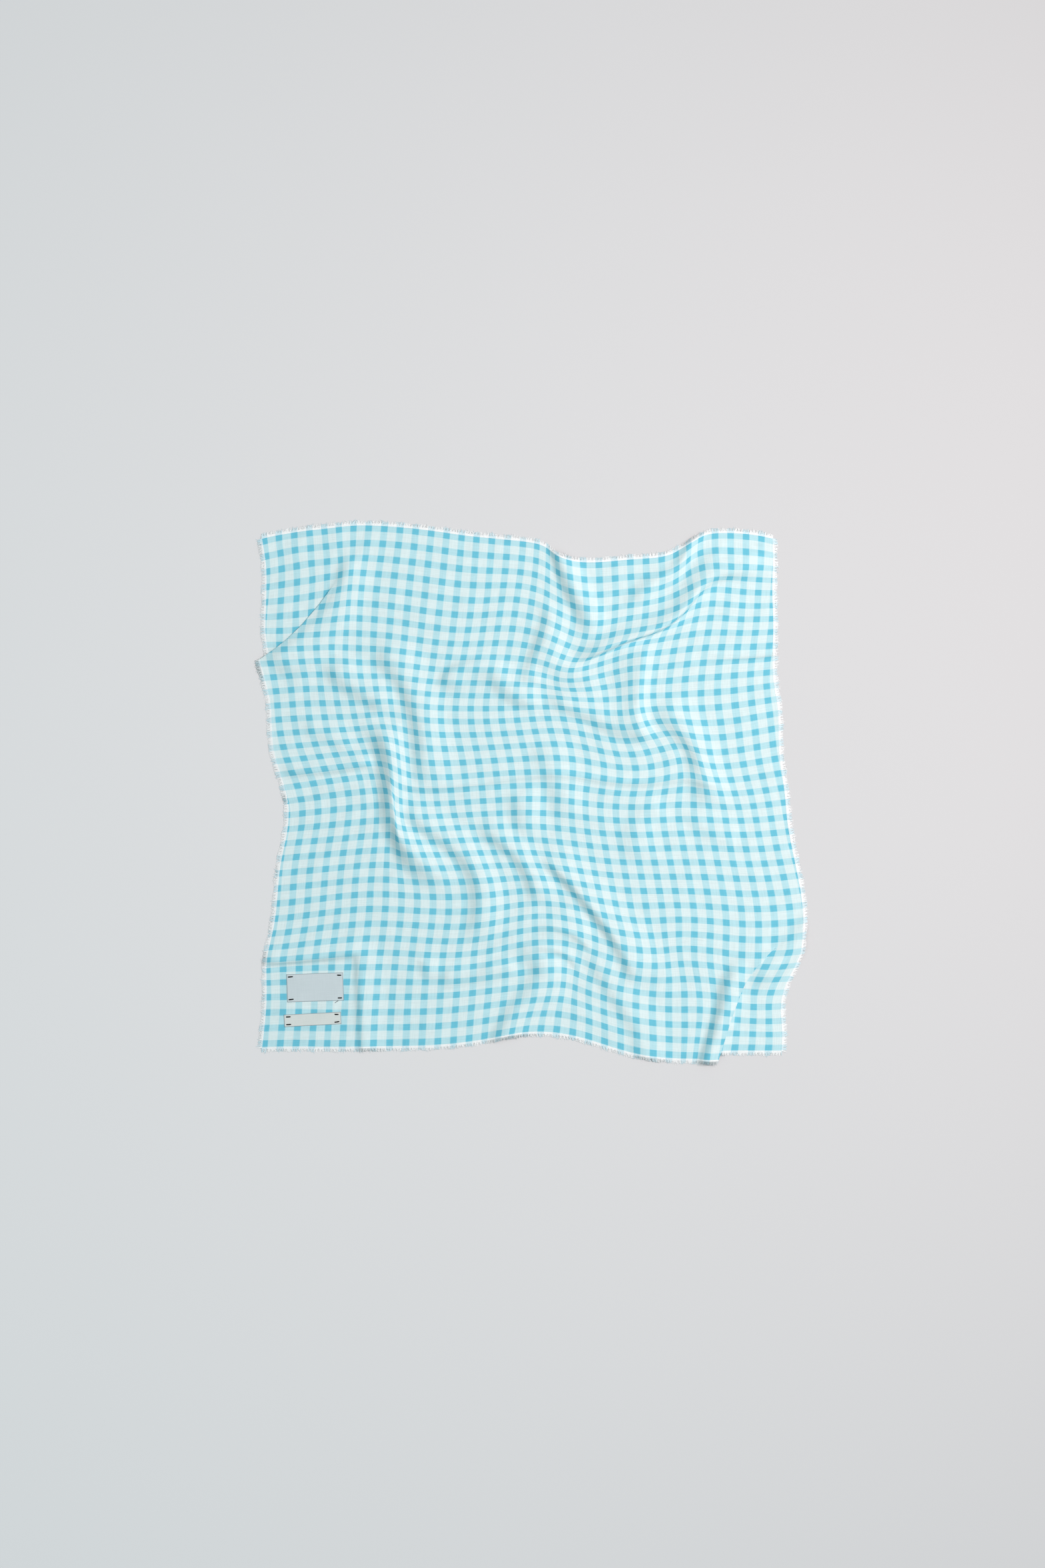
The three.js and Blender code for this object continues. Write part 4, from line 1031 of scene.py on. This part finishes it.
def dress_ribbon(name: str, finish: RibbonFinish) -> bpy.types.Material:
    """Makes a label's woven ribbon, painted darker along its cut edges, partly for the edge itself
    and partly as painted shade.

    Args:
        name: The finish's name.
        finish: Its colours and weave.

    Returns:
        The material, which reads the label's own UV map and the attribute that marks the darker
        band along its cut edges.
    """
    material, wire, shader = new_material(name)
    place = wire.node("ShaderNodeUVMap", uv_map="weave").outputs["UV"]
    weave = wire.node("ShaderNodeGroup", node_tree=Groups.weave())
    wire.join(place, weave.inputs["Vector"])
    weave.inputs["Threads"].default_value = finish.threads
    # The mask of the band along the cut edges, painted darker below, partly as painted shade.
    cut_edge_and_shade = wire.node("ShaderNodeAttribute", attribute_name="cut_edge_and_shade").outputs["Fac"]
    colour = wire.mix(cut_edge_and_shade, linear(*finish.ground), linear(*finish.cut_edge_and_shade_colour))
    tone = wire.math("MULTIPLY", wire.math("SUBTRACT", weave.outputs["Slub"], 0.5), 0.16)
    wire.shade(shader, colour, wire.math("ADD", tone, 1.0))
    wire.emboss(shader, weave.outputs["Height"], strength=0.2, distance=0.0001)
    shader.inputs["Roughness"].default_value = finish.roughness
    return material


def deselect() -> None:
    """Leaves object mode clean for the next operator."""
    if bpy.context.object is not None and bpy.context.object.mode != "OBJECT":
        bpy.ops.object.mode_set(mode="OBJECT")
    bpy.ops.object.select_all(action="DESELECT")


def activate(piece: bpy.types.Object) -> None:
    """Selects one piece alone."""
    deselect()
    piece.select_set(True)
    bpy.context.view_layer.objects.active = piece


def apply_modifier(piece: bpy.types.Object, kind: str, **settings: object) -> None:
    """Adds a modifier and applies it.

    Args:
        piece: The piece to change.
        kind: The modifier's type.
        **settings: Its properties.
    """
    activate(piece)
    modifier = piece.modifiers.new(kind.lower(), kind)
    for name, value in settings.items():
        setattr(modifier, name, value)
    bpy.ops.object.modifier_apply(modifier=modifier.name)


def vertex_places(mesh: bpy.types.Mesh) -> Array:
    """Reads a mesh's vertices as an array."""
    places = np.empty(len(mesh.vertices) * 3, dtype=np.float32)
    mesh.vertices.foreach_get("co", places)
    return places.reshape(-1, 3).astype(float)


def move_vertices(mesh: bpy.types.Mesh, places: Array) -> None:
    """Moves a mesh's vertices to the given places."""
    mesh.vertices.foreach_set("co", places.astype(np.float32).ravel())
    mesh.update()


def turned(places: Array, angle: float) -> Array:
    """Turns flat places anticlockwise about the origin, by an angle in radians."""
    x, y = places[:, 0], places[:, 1]
    cosine, sine = math.cos(angle), math.sin(angle)
    return np.stack([x * cosine - y * sine, x * sine + y * cosine], axis=-1)


def write_uv(mesh: bpy.types.Mesh, per_vertex: Array) -> None:
    """Gives the mesh a UV map named weave from a pair of numbers for each vertex."""
    layer = mesh.uv_layers.get("weave") or mesh.uv_layers.new(name="weave")
    corners = np.empty(len(mesh.loops), dtype=np.int32)
    mesh.loops.foreach_get("vertex_index", corners)
    layer.data.foreach_set("uv", per_vertex[corners].astype(np.float32).ravel())


def write_attribute(mesh: bpy.types.Mesh, name: str, values: Array) -> None:
    """Gives the mesh a number for each vertex."""
    attribute = mesh.attributes.get(name) or mesh.attributes.new(name, "FLOAT", "POINT")
    attribute.data.foreach_set("value", values.astype(np.float32))


@dataclass
class ScarfCloth:
    """The cloth itself: one sheet, tucked at two corners."""

    shape: ClothShape
    cells: int = 208
    finish: GinghamFinish = GinghamFinish()
    score_reach: float = 6
    score_lead: float = 4

    def build(self) -> bpy.types.Object:
        """Lays out the flat cloth, scores the fold lines and brings it to rest.

        Returns:
            The finished cloth.
        """
        deselect()
        bpy.ops.mesh.primitive_grid_add(
            x_subdivisions=self.cells, y_subdivisions=self.cells, size=1.0
        )
        piece = bpy.context.object
        piece.name = "cloth"
        mesh = piece.data
        places = vertex_places(mesh)
        row = TOP + (BOTTOM - TOP) * (0.5 - places[:, 1])
        left, right = side_cut(row, "left"), side_cut(row, "right")
        column = left + (right - left) * (places[:, 0] + 0.5)
        places[:, 0] = column * CHECK_ACROSS * MM
        places[:, 1] = -row * CHECK_DOWN * MM
        move_vertices(mesh, places)
        for tuck in TUCKS:
            self._score(piece, tuck)
        places = vertex_places(mesh)
        column = places[:, 0] / (CHECK_ACROSS * MM)
        row = -places[:, 1] / (CHECK_DOWN * MM)
        write_uv(mesh, np.stack([column, row], axis=-1))
        move_vertices(mesh, self.shape.points(column, row))
        apply_modifier(piece, "SOLIDIFY", thickness=CLOTH_THICK * MM, offset=0.0)
        activate(piece)
        bpy.ops.object.shade_smooth_by_angle(angle=math.radians(65))
        mesh.materials.clear()
        mesh.materials.append(dress_gingham(self.finish))
        return piece

    def _score(self, piece: bpy.types.Object, tuck: Tuck) -> None:
        """Cuts the flat cloth along the lines that a tuck turns it on.

        Args:
            piece: The flat cloth.
            tuck: The tuck to score it for.
        """
        self._straighten(piece, tuck, 1.0)
        turns = [share * tuck.quarter for share in (-1, -0.5, 0, 0.5, 1)]
        lines = [(turn, 0.0) for turn in turns]
        lines += [(tuck.width + turn, 0.6 * tuck.opens) for turn in turns]
        toward = tuck.to_corner
        apex = np.array([tuck.apex[0] * CHECK_ACROSS, -tuck.apex[1] * CHECK_DOWN])
        normal = np.array([toward[0], -toward[1]])
        for offset, start in lines:
            activate(piece)
            bpy.ops.object.mode_set(mode="EDIT")
            bpy.ops.mesh.select_mode(type="FACE")
            cloth = bmesh.from_edit_mesh(piece.data)
            for face in cloth.faces:
                centre = face.calc_center_median()
                column = centre.x / (CHECK_ACROSS * MM)
                row = -centre.y / (CHECK_DOWN * MM)
                across, down = tuck.measure(np.array(column), np.array(row))
                close = abs(across - offset) < self.score_reach
                face.select_set(bool(close and down > start - self.score_lead))
            cloth.select_flush_mode()
            bmesh.update_edit_mesh(piece.data)
            point = (apex + normal * offset) * MM
            bpy.ops.mesh.bisect(plane_co=(*point, 0.0), plane_no=(*normal, 0.0))
        bpy.ops.object.mode_set(mode="OBJECT")
        self._straighten(piece, tuck, -1.0)

    def _straighten(self, piece: bpy.types.Object, tuck: Tuck, way: float) -> None:
        """Moves the flat cloth so that a tuck's bowed line is straight, or back with way -1."""
        places = vertex_places(piece.data)
        column = places[:, 0] / (CHECK_ACROSS * MM)
        row = -places[:, 1] / (CHECK_DOWN * MM)
        moved = way * tuck.curve(tuck.measure(column, row)[1]) * MM
        places[:, 0] -= moved * tuck.to_corner[0]
        places[:, 1] += moved * tuck.to_corner[1]
        move_vertices(piece.data, places)


class Hem(Enum):
    """The scarf's four frayed hems, by the node that stands for each."""

    TOP = "fray_top"
    RIGHT = "fray_right"
    BOTTOM = "fray_bottom"
    LEFT = "fray_left"


@dataclass
class FrayedHem:
    """The loose thread ends along one hem, in millimetres.

    Spacing is from thread to thread, and lap is how far each root runs back over the cloth.
    Threads lean and curl by chance and in clumps. Their reach is a share of the length: at least
    the least, up to the spread more, and more again for the few that stray.
    """

    shape: ClothShape
    hem: Hem
    spacing: float = 0.28
    length: float = 5.4
    lap: float = 1.1
    half_width: float = 0.3
    half_height: float = 0.1
    lean_spread: float = 0.12
    curl_spread: float = 0.35
    least_reach: float = 0.7
    reach_spread: float = 0.25
    stray_share: float = 0.04
    stray_reach: float = 0.35
    aqua_half: float = 0.215
    seed: int = 7

    def build(self, material: bpy.types.Material) -> bpy.types.Object:
        """Grows the threads.

        Args:
            material: The thread's finish.

        Returns:
            The threads as one piece.
        """
        column, row, outward = self._roots()
        count = len(column)
        rng = np.random.default_rng(self.seed + list(Hem).index(self.hem))
        hem, across, down = self.shape.frame_at(column, row)
        level = self.hem in (Hem.TOP, Hem.BOTTOM)
        along = across if level else down
        away = (down if level else across) * outward
        up = np.cross(across, -down)
        order = np.arange(count)
        clump = 0.22 * np.sin(order * 0.47) + 0.16 * np.sin(order * 0.113 + 2)
        lean = (clump + rng.normal(0, self.lean_spread, count))[:, None]
        curl = rng.normal(0, self.curl_spread, count)[:, None]
        reach = self.least_reach + self.reach_spread * rng.random(count)
        reach = reach + 0.1 * np.sin(order * 0.061)
        strays = rng.random(count) < self.stray_share
        reach = np.where(strays, reach + self.stray_reach, reach)
        reach = reach[:, None] * self.length * MM
        over = up * (CLOTH_THICK / 2 + self.half_height) * MM
        start = hem - away * self.lap * MM + over
        rest = hem + (away + along * lean * 0.3) * 0.4 * MM + over * 0.8
        rings = [(start, 0.8), (rest, 1.0)]
        floor = self.half_height * MM
        for share in (0.4, 0.75, 1.0):
            centre = rest + away * reach * share
            centre = centre + along * reach * share * (lean + curl * share * share * 0.5)
            fallen = rest[:, 2] * (1 - 0.75 * share)
            lift = 0.3 * MM * np.abs(curl[:, 0]) * share
            centre[:, 2] = np.maximum(np.minimum(centre[:, 2], fallen) + lift, floor)
            rings.append((centre, 1 - 0.35 * share))
        return self._weld(rings, along, up, self._tints(column, row, rng), material)

    def _roots(self) -> tuple[Array, Array, int]:
        """Spaces the threads along the hem, and gives which way they point."""
        if self.hem in (Hem.TOP, Hem.BOTTOM):
            row_at = TOP if self.hem is Hem.TOP else BOTTOM
            ends = [side_cut(np.array([row_at]), side)[0] for side in ("left", "right")]
            count = int((ends[1] - ends[0]) * CHECK_ACROSS / self.spacing)
            column = np.linspace(ends[0] + 0.03, ends[1] - 0.03, count)
            return column, np.full(count, row_at), -1 if self.hem is Hem.TOP else 1
        count = int((BOTTOM - TOP) * CHECK_DOWN / self.spacing)
        row = np.linspace(TOP + 0.03, BOTTOM - 0.03, count)
        side = "left" if self.hem is Hem.LEFT else "right"
        return side_cut(row, side), row, -1 if self.hem is Hem.LEFT else 1

    def _tints(self, column: Array, row: Array, rng: np.random.Generator) -> Array:
        """Gives how much of the aqua of its stripe each thread keeps."""
        place = column if self.hem in (Hem.TOP, Hem.BOTTOM) else row
        offset = np.abs((place + 100.5) % 1.0 - 0.5)
        return np.where(offset < self.aqua_half, 0.2 + 0.5 * rng.random(len(place)), 0.0)

    def _weld(
        self,
        rings: list[tuple[Array, float]],
        along: Array,
        up: Array,
        tints: Array,
        material: bpy.types.Material,
    ) -> bpy.types.Object:
        """Closes the rings into three-sided threads.

        Args:
            rings: Each ring's centres and how much of the full width it has, root first.
            along: The way along the hem at each thread.
            up: The way out of the cloth.
            tints: Each thread's tint.
            material: The finish.

        Returns:
            The piece.
        """
        sides = 3
        count = len(tints)
        corners = []
        for centre, share in rings:
            for k in range(sides):
                turn = 2 * math.pi * k / sides + math.pi / 2
                wide = along * math.cos(turn) * self.half_width
                tall = up * math.sin(turn) * self.half_height
                corners.append(centre + (wide + tall) * share * MM)
        places = np.stack(corners, axis=1).reshape(-1, 3)
        places[:, 2] = np.maximum(places[:, 2], 0.0)
        each = len(rings) * sides
        faces = []
        for ring in range(len(rings) - 1):
            for k in range(sides):
                a, b = ring * sides + k, ring * sides + (k + 1) % sides
                faces.append((a, b, b + sides, a + sides))
        caps = [tuple(range(sides))[::-1], tuple(range(each - sides, each))]
        all_faces = []
        for n in range(count):
            base = n * each
            all_faces += [tuple(base + v for v in face) for face in faces + caps]
        mesh = bpy.data.meshes.new(self.hem.value + "_threads")
        mesh.from_pydata(places.tolist(), [], all_faces)
        mesh.update()
        piece = bpy.data.objects.new(self.hem.value + "_threads", mesh)
        bpy.context.collection.objects.link(piece)
        activate(piece)
        bpy.ops.object.mode_set(mode="EDIT")
        bpy.ops.mesh.select_all(action="SELECT")
        bpy.ops.mesh.normals_make_consistent(inside=False)
        bpy.ops.object.mode_set(mode="OBJECT")
        write_attribute(mesh, "tint", np.repeat(tints, each))
        mesh.materials.append(material)
        return piece


@dataclass
class SewnLabel:
    """A bare woven label with a stitch at each corner, in millimetres.

    Its middle is given from the middle of the plan, and its turn in degrees, anticlockwise from
    above. Inset is how far the stitches stand in from the corners. Near is the column and row
    that the search for the cloth under the label starts from.
    """

    shape: ClothShape
    node: str
    middle: tuple[float, float]
    size: tuple[float, float]
    turn: float
    finish: RibbonFinish
    inset: tuple[float, float]
    thick: float = 0.45
    gap: float = 0.1
    cell: float = 1.1
    # The width of the band along the cut edges that is painted darker, partly as painted shade.
    cut_edge_and_shade: float = 0.3
    weave_size: float = 20.0
    near: tuple[float, float] = (3.0, 33.0)
    tries: int = 6
    stitch_length: float = 4.6
    stitch_rise: float = 0.7
    thread_radius: float = 0.72

    def build(self) -> bpy.types.Object:
        """Models the ribbon.

        Returns:
            The label, lying on the cloth.
        """
        width, depth = self.size
        deselect()
        bpy.ops.mesh.primitive_grid_add(
            x_subdivisions=int(width / self.cell),
            y_subdivisions=int(depth / self.cell),
            size=1.0,
        )
        piece = bpy.context.object
        piece.name = self.node + "_ribbon"
        mesh = piece.data
        flat = vertex_places(mesh)[:, :2] * self.size
        to_edge = np.minimum(width / 2 - np.abs(flat[:, 0]), depth / 2 - np.abs(flat[:, 1]))
        write_uv(mesh, flat / self.weave_size)
        # Marks the band along the cut edges that the ribbon paints darker, partly as painted shade.
        write_attribute(mesh, "cut_edge_and_shade", (to_edge < self.cut_edge_and_shade).astype(float))
        move_vertices(mesh, self.lay(flat, self.gap + self.thick / 2))
        apply_modifier(piece, "SOLIDIFY", thickness=self.thick * MM, offset=0.0)
        apply_modifier(piece, "BEVEL", width=0.08 * MM, segments=1, limit_method="ANGLE")
        mesh.shade_smooth()
        activate(piece)
        bpy.ops.object.shade_smooth_by_angle(angle=math.radians(40))
        mesh.materials.clear()
        mesh.materials.append(dress_ribbon(self.node + " ribbon", self.finish))
        return piece

    def lay(self, flat: Array, above: float) -> Array:
        """Lays places of the label on the cloth.

        Args:
            flat: Their offsets from the label's middle, in millimetres.
            above: How far above the cloth's upper face they are, in millimetres.

        Returns:
            Their coordinates in metres.
        """
        offset = turned(flat, math.radians(self.turn))
        target = (np.array(self.middle) + offset) * MM + self.shape.shift[:2]
        guess = np.tile(self.near, (len(flat), 1))
        for _ in range(self.tries):
            here = self.shape.points(guess[:, 0], guess[:, 1])
            miss = (target - here[:, :2]) / MM
            guess += np.stack([miss[:, 0] / CHECK_ACROSS, -miss[:, 1] / CHECK_DOWN], axis=-1)
        height = self.shape.points(guess[:, 0], guess[:, 1])[:, 2]
        height = height + (CLOTH_THICK / 2 + above) * MM
        return np.column_stack([target, height])

    def stitch(self, material: bpy.types.Material) -> bpy.types.Object:
        """Sews the four corners.

        Args:
            material: The sewing thread's finish.

        Returns:
            The stitches as one piece.
        """
        first = self._arch()
        made = [first]
        for _ in range(3):
            copy = first.copy()
            copy.data = first.data.copy()
            bpy.context.collection.objects.link(copy)
            made.append(copy)
        half = [size / 2 - inset for size, inset in zip(self.size, self.inset)]
        corners = ((-1, 1), (1, 1), (1, -1), (-1, -1))
        for order, (piece, corner) in enumerate(zip(made, corners)):
            places = vertex_places(piece.data) / MM
            turn = math.radians(5.0 * math.sin(order * 2.1 + self.turn))
            length = 1.0 + 0.12 * math.sin(order * 1.9 + self.turn)
            flat = turned(places[:, :2] * (length, 1.0), turn)
            flat = flat + (half[0] * corner[0], half[1] * corner[1])
            laid = self.lay(flat, self.gap + self.thick)
            laid[:, 2] += places[:, 2] * MM
            move_vertices(piece.data, laid)
        return self._join(made, self.node + "_stitches", material)

    def loose_end(self, material: bpy.types.Material) -> bpy.types.Object:
        """Leaves a short end of the sewing thread below the label.

        Args:
            material: The sewing thread's finish.

        Returns:
            The thread end.
        """
        piece = self._arch()
        places = vertex_places(piece.data) / MM
        share = places[:, 0] / self.stitch_length + 0.5
        x = 29.5 - 4.6 * share + 0.9 * places[:, 1]
        y = -self.size[1] / 2 + 0.3 - 2.6 * share + 0.9 * places[:, 1]
        laid = self.lay(np.stack([x, y], axis=-1), 0.05)
        laid[:, 2] += places[:, 2] * 0.6 * MM
        move_vertices(piece.data, laid)
        return self._join([piece], self.node + "_thread_end", material)

    def _arch(self) -> bpy.types.Object:
        """Spins one short flat arch of thread, standing on the level of the origin."""
        deselect()
        bpy.ops.mesh.primitive_circle_add(
            vertices=10,
            radius=self.thread_radius * MM,
            fill_type="NGON",
            location=(-self.stitch_length / 2 * MM, 0, 0),
        )
        piece = bpy.context.object
        bpy.ops.object.transform_apply(location=True, rotation=True, scale=True)
        bpy.ops.object.mode_set(mode="EDIT")
        bpy.ops.mesh.select_all(action="SELECT")
        bpy.ops.mesh.spin(steps=14, angle=math.pi, center=(0, 0, 0), axis=(0, 1, 0))
        bpy.ops.mesh.select_all(action="SELECT")
        bpy.ops.mesh.remove_doubles(threshold=1e-6)
        bpy.ops.mesh.normals_make_consistent(inside=False)
        bpy.ops.object.mode_set(mode="OBJECT")
        places = vertex_places(piece.data)
        if places[:, 2].mean() < 0:
            places[:, 2] *= -1
            piece.data.flip_normals()
        places[:, 2] *= self.stitch_rise * MM / places[:, 2].max()
        move_vertices(piece.data, places)
        return piece

    def _join(
        self, made: list[bpy.types.Object], name: str, material: bpy.types.Material
    ) -> bpy.types.Object:
        """Joins threads into one piece and dresses it."""
        deselect()
        for piece in made:
            piece.select_set(True)
        bpy.context.view_layer.objects.active = made[0]
        if len(made) > 1:
            bpy.ops.object.join()
        joined = bpy.context.object
        joined.name = name
        write_attribute(joined.data, "tint", np.zeros(len(joined.data.vertices)))
        joined.data.shade_smooth()
        joined.data.materials.clear()
        joined.data.materials.append(material)
        return joined


@dataclass
class Studio:
    """The pale floor, the soft light and the camera straight above.

    Pixel is the millimetres of plan to one pixel of the frame, and middle_pixel is where the
    scarf's middle stands in it. The floor's tone is painted darker towards the upper right and
    lighter towards the lower left, a set share for each metre across and away: painted light that
    evens out the light's fall-off. The rest is in metres.
    """

    pixel: float = 0.843
    image: tuple[int, int] = (1568, 2352)
    middle_pixel: tuple[float, float] = (797.5, 1189.5)
    camera_height: float = 4.0
    sensor: float = 36.0
    floor_size: float = 12.0
    floor_drop: float = 0.0002
    floor_grey: tuple[int, int, int] = (228, 227, 228)
    # Painted light: how much the floor's tone changes for each metre across and away.
    floor_painted_light: tuple[float, float] = (-0.2, -0.07)
    key_place: tuple[float, float, float] = (1.664, 0.672, 2.656)
    key_size: float = 1.4
    key_energy: float = 66.0
    key_colour: tuple[float, float, float] = (1.16, 1.0, 0.98)
    air_colour: tuple[float, float, float, float] = (0.78, 0.995, 1.03, 1.0)
    air_strength: float = 0.45

    def build(self, shift: Array) -> None:
        """Sets the studio up.

        Args:
            shift: How far the scarf's middle is from the origin.
        """
        self._floor()
        self._camera(shift)
        self._lights()

    def _floor(self) -> None:
        """Lays the floor just under the scarf."""
        deselect()
        bpy.ops.mesh.primitive_plane_add(size=self.floor_size, location=(0, 0, -self.floor_drop))
        floor = bpy.context.object
        floor.name = "floor"
        material, wire, shader = new_material("pale floor")
        place = wire.node("ShaderNodeTexCoord").outputs["Object"]
        grain_and_painted_light = wire.math("MULTIPLY", wire.math("SUBTRACT", wire.noise(place, 3.0), 0.5), 0.01)
        split = wire.node("ShaderNodeSeparateXYZ")
        wire.join(place, split.inputs[0])
        # Painted light: the floor's tone grows lighter towards the lower left, away from the key,
        # to even out its fall-off.
        painted_light = [wire.math("MULTIPLY", split.outputs[k], self.floor_painted_light[k]) for k in (0, 1)]
        grain_and_painted_light = wire.math("ADD", grain_and_painted_light, wire.math("ADD", *painted_light))
        wire.shade(shader, linear(*self.floor_grey), wire.math("ADD", grain_and_painted_light, 1.0))
        shader.inputs["Roughness"].default_value = 0.95
        shader.inputs["Specular IOR Level"].default_value = 0.0
        floor.data.materials.append(material)

    def _camera(self, shift: Array) -> None:
        """Hangs the camera over the middle of the photograph's frame."""
        data = bpy.data.cameras.new("camera")
        camera = bpy.data.objects.new("camera", data)
        bpy.context.collection.objects.link(camera)
        tall = self.image[1] * self.pixel * MM
        data.sensor_fit = "AUTO"
        data.sensor_width = self.sensor
        data.lens = self.sensor * self.camera_height / tall
        across = (self.image[0] / 2 - self.middle_pixel[0]) * self.pixel * MM
        up = (self.middle_pixel[1] - self.image[1] / 2) * self.pixel * MM
        camera.location = (across + shift[0], up + shift[1], self.camera_height)
        bpy.context.scene.camera = camera

    def _lights(self) -> None:
        """Lights the scarf softly from above and from the upper right."""
        world = bpy.data.worlds.new("studio air")
        bpy.context.scene.world = world
        bpy.context.scene.view_settings.view_transform = "Standard"
        world.use_nodes = True
        back = world.node_tree.nodes["Background"]
        back.inputs["Color"].default_value = self.air_colour
        back.inputs["Strength"].default_value = self.air_strength
        data = bpy.data.lights.new("key", "AREA")
        data.shape = "DISK"
        data.size = self.key_size
        data.energy = self.key_energy
        data.color = self.key_colour
        light = bpy.data.objects.new("key", data)
        bpy.context.collection.objects.link(light)
        light.location = self.key_place
        light.rotation_euler = (-Vector(self.key_place)).to_track_quat("-Z", "Y").to_euler()


def settle(piece: bpy.types.Object, slot: str, *nodes: str) -> None:
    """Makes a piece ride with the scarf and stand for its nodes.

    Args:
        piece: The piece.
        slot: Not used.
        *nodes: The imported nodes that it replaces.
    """
    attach(piece, "root")
    if nodes:
        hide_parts(*nodes)
    LOG.info("%s: %d faces", piece.name, len(piece.data.polygons))


def main() -> None:
    """Builds the scarf and its studio."""
    logging.basicConfig(level=logging.INFO, format="%(message)s")
    shape = ClothShape(ClothNet(MAIN_RIDGES + FINE_RIDGES))
    Studio().build(shape.shift)
    cloth = ScarfCloth(shape).build()
    settle(cloth, "scarf_cloth", "scarf_cloth")
    loose = dress_thread("loose ends", ThreadFinish(colour=(252, 253, 253), tint=(176, 226, 240)))
    for hem in Hem:
        fringe = FrayedHem(shape, hem).build(loose)
        settle(fringe, hem.value, hem.value)
    black = dress_thread("black sewing thread", ThreadFinish(colour=(7, 8, 9), tint=(7, 8, 9)))
    labels = (
        SewnLabel(shape, "label_large", middle=(-273.6, -245.7), size=(71.5, 35.3), turn=1.9,
                  finish=RibbonFinish(ground=(211, 222, 226)), inset=(4.9, 3.3)),
        SewnLabel(shape, "label_small", middle=(-276.8, -286.2), size=(72.1, 15.4), turn=3,
                  finish=RibbonFinish(ground=(223, 229, 226)), inset=(5.5, 2.9)),
    )
    settle(labels[0].loose_end(black), "label_large")
    for label in labels:
        settle(label.build(), label.node, label.node)
        settle(label.stitch(black), label.node)


if __name__ == "__main__":
    main()
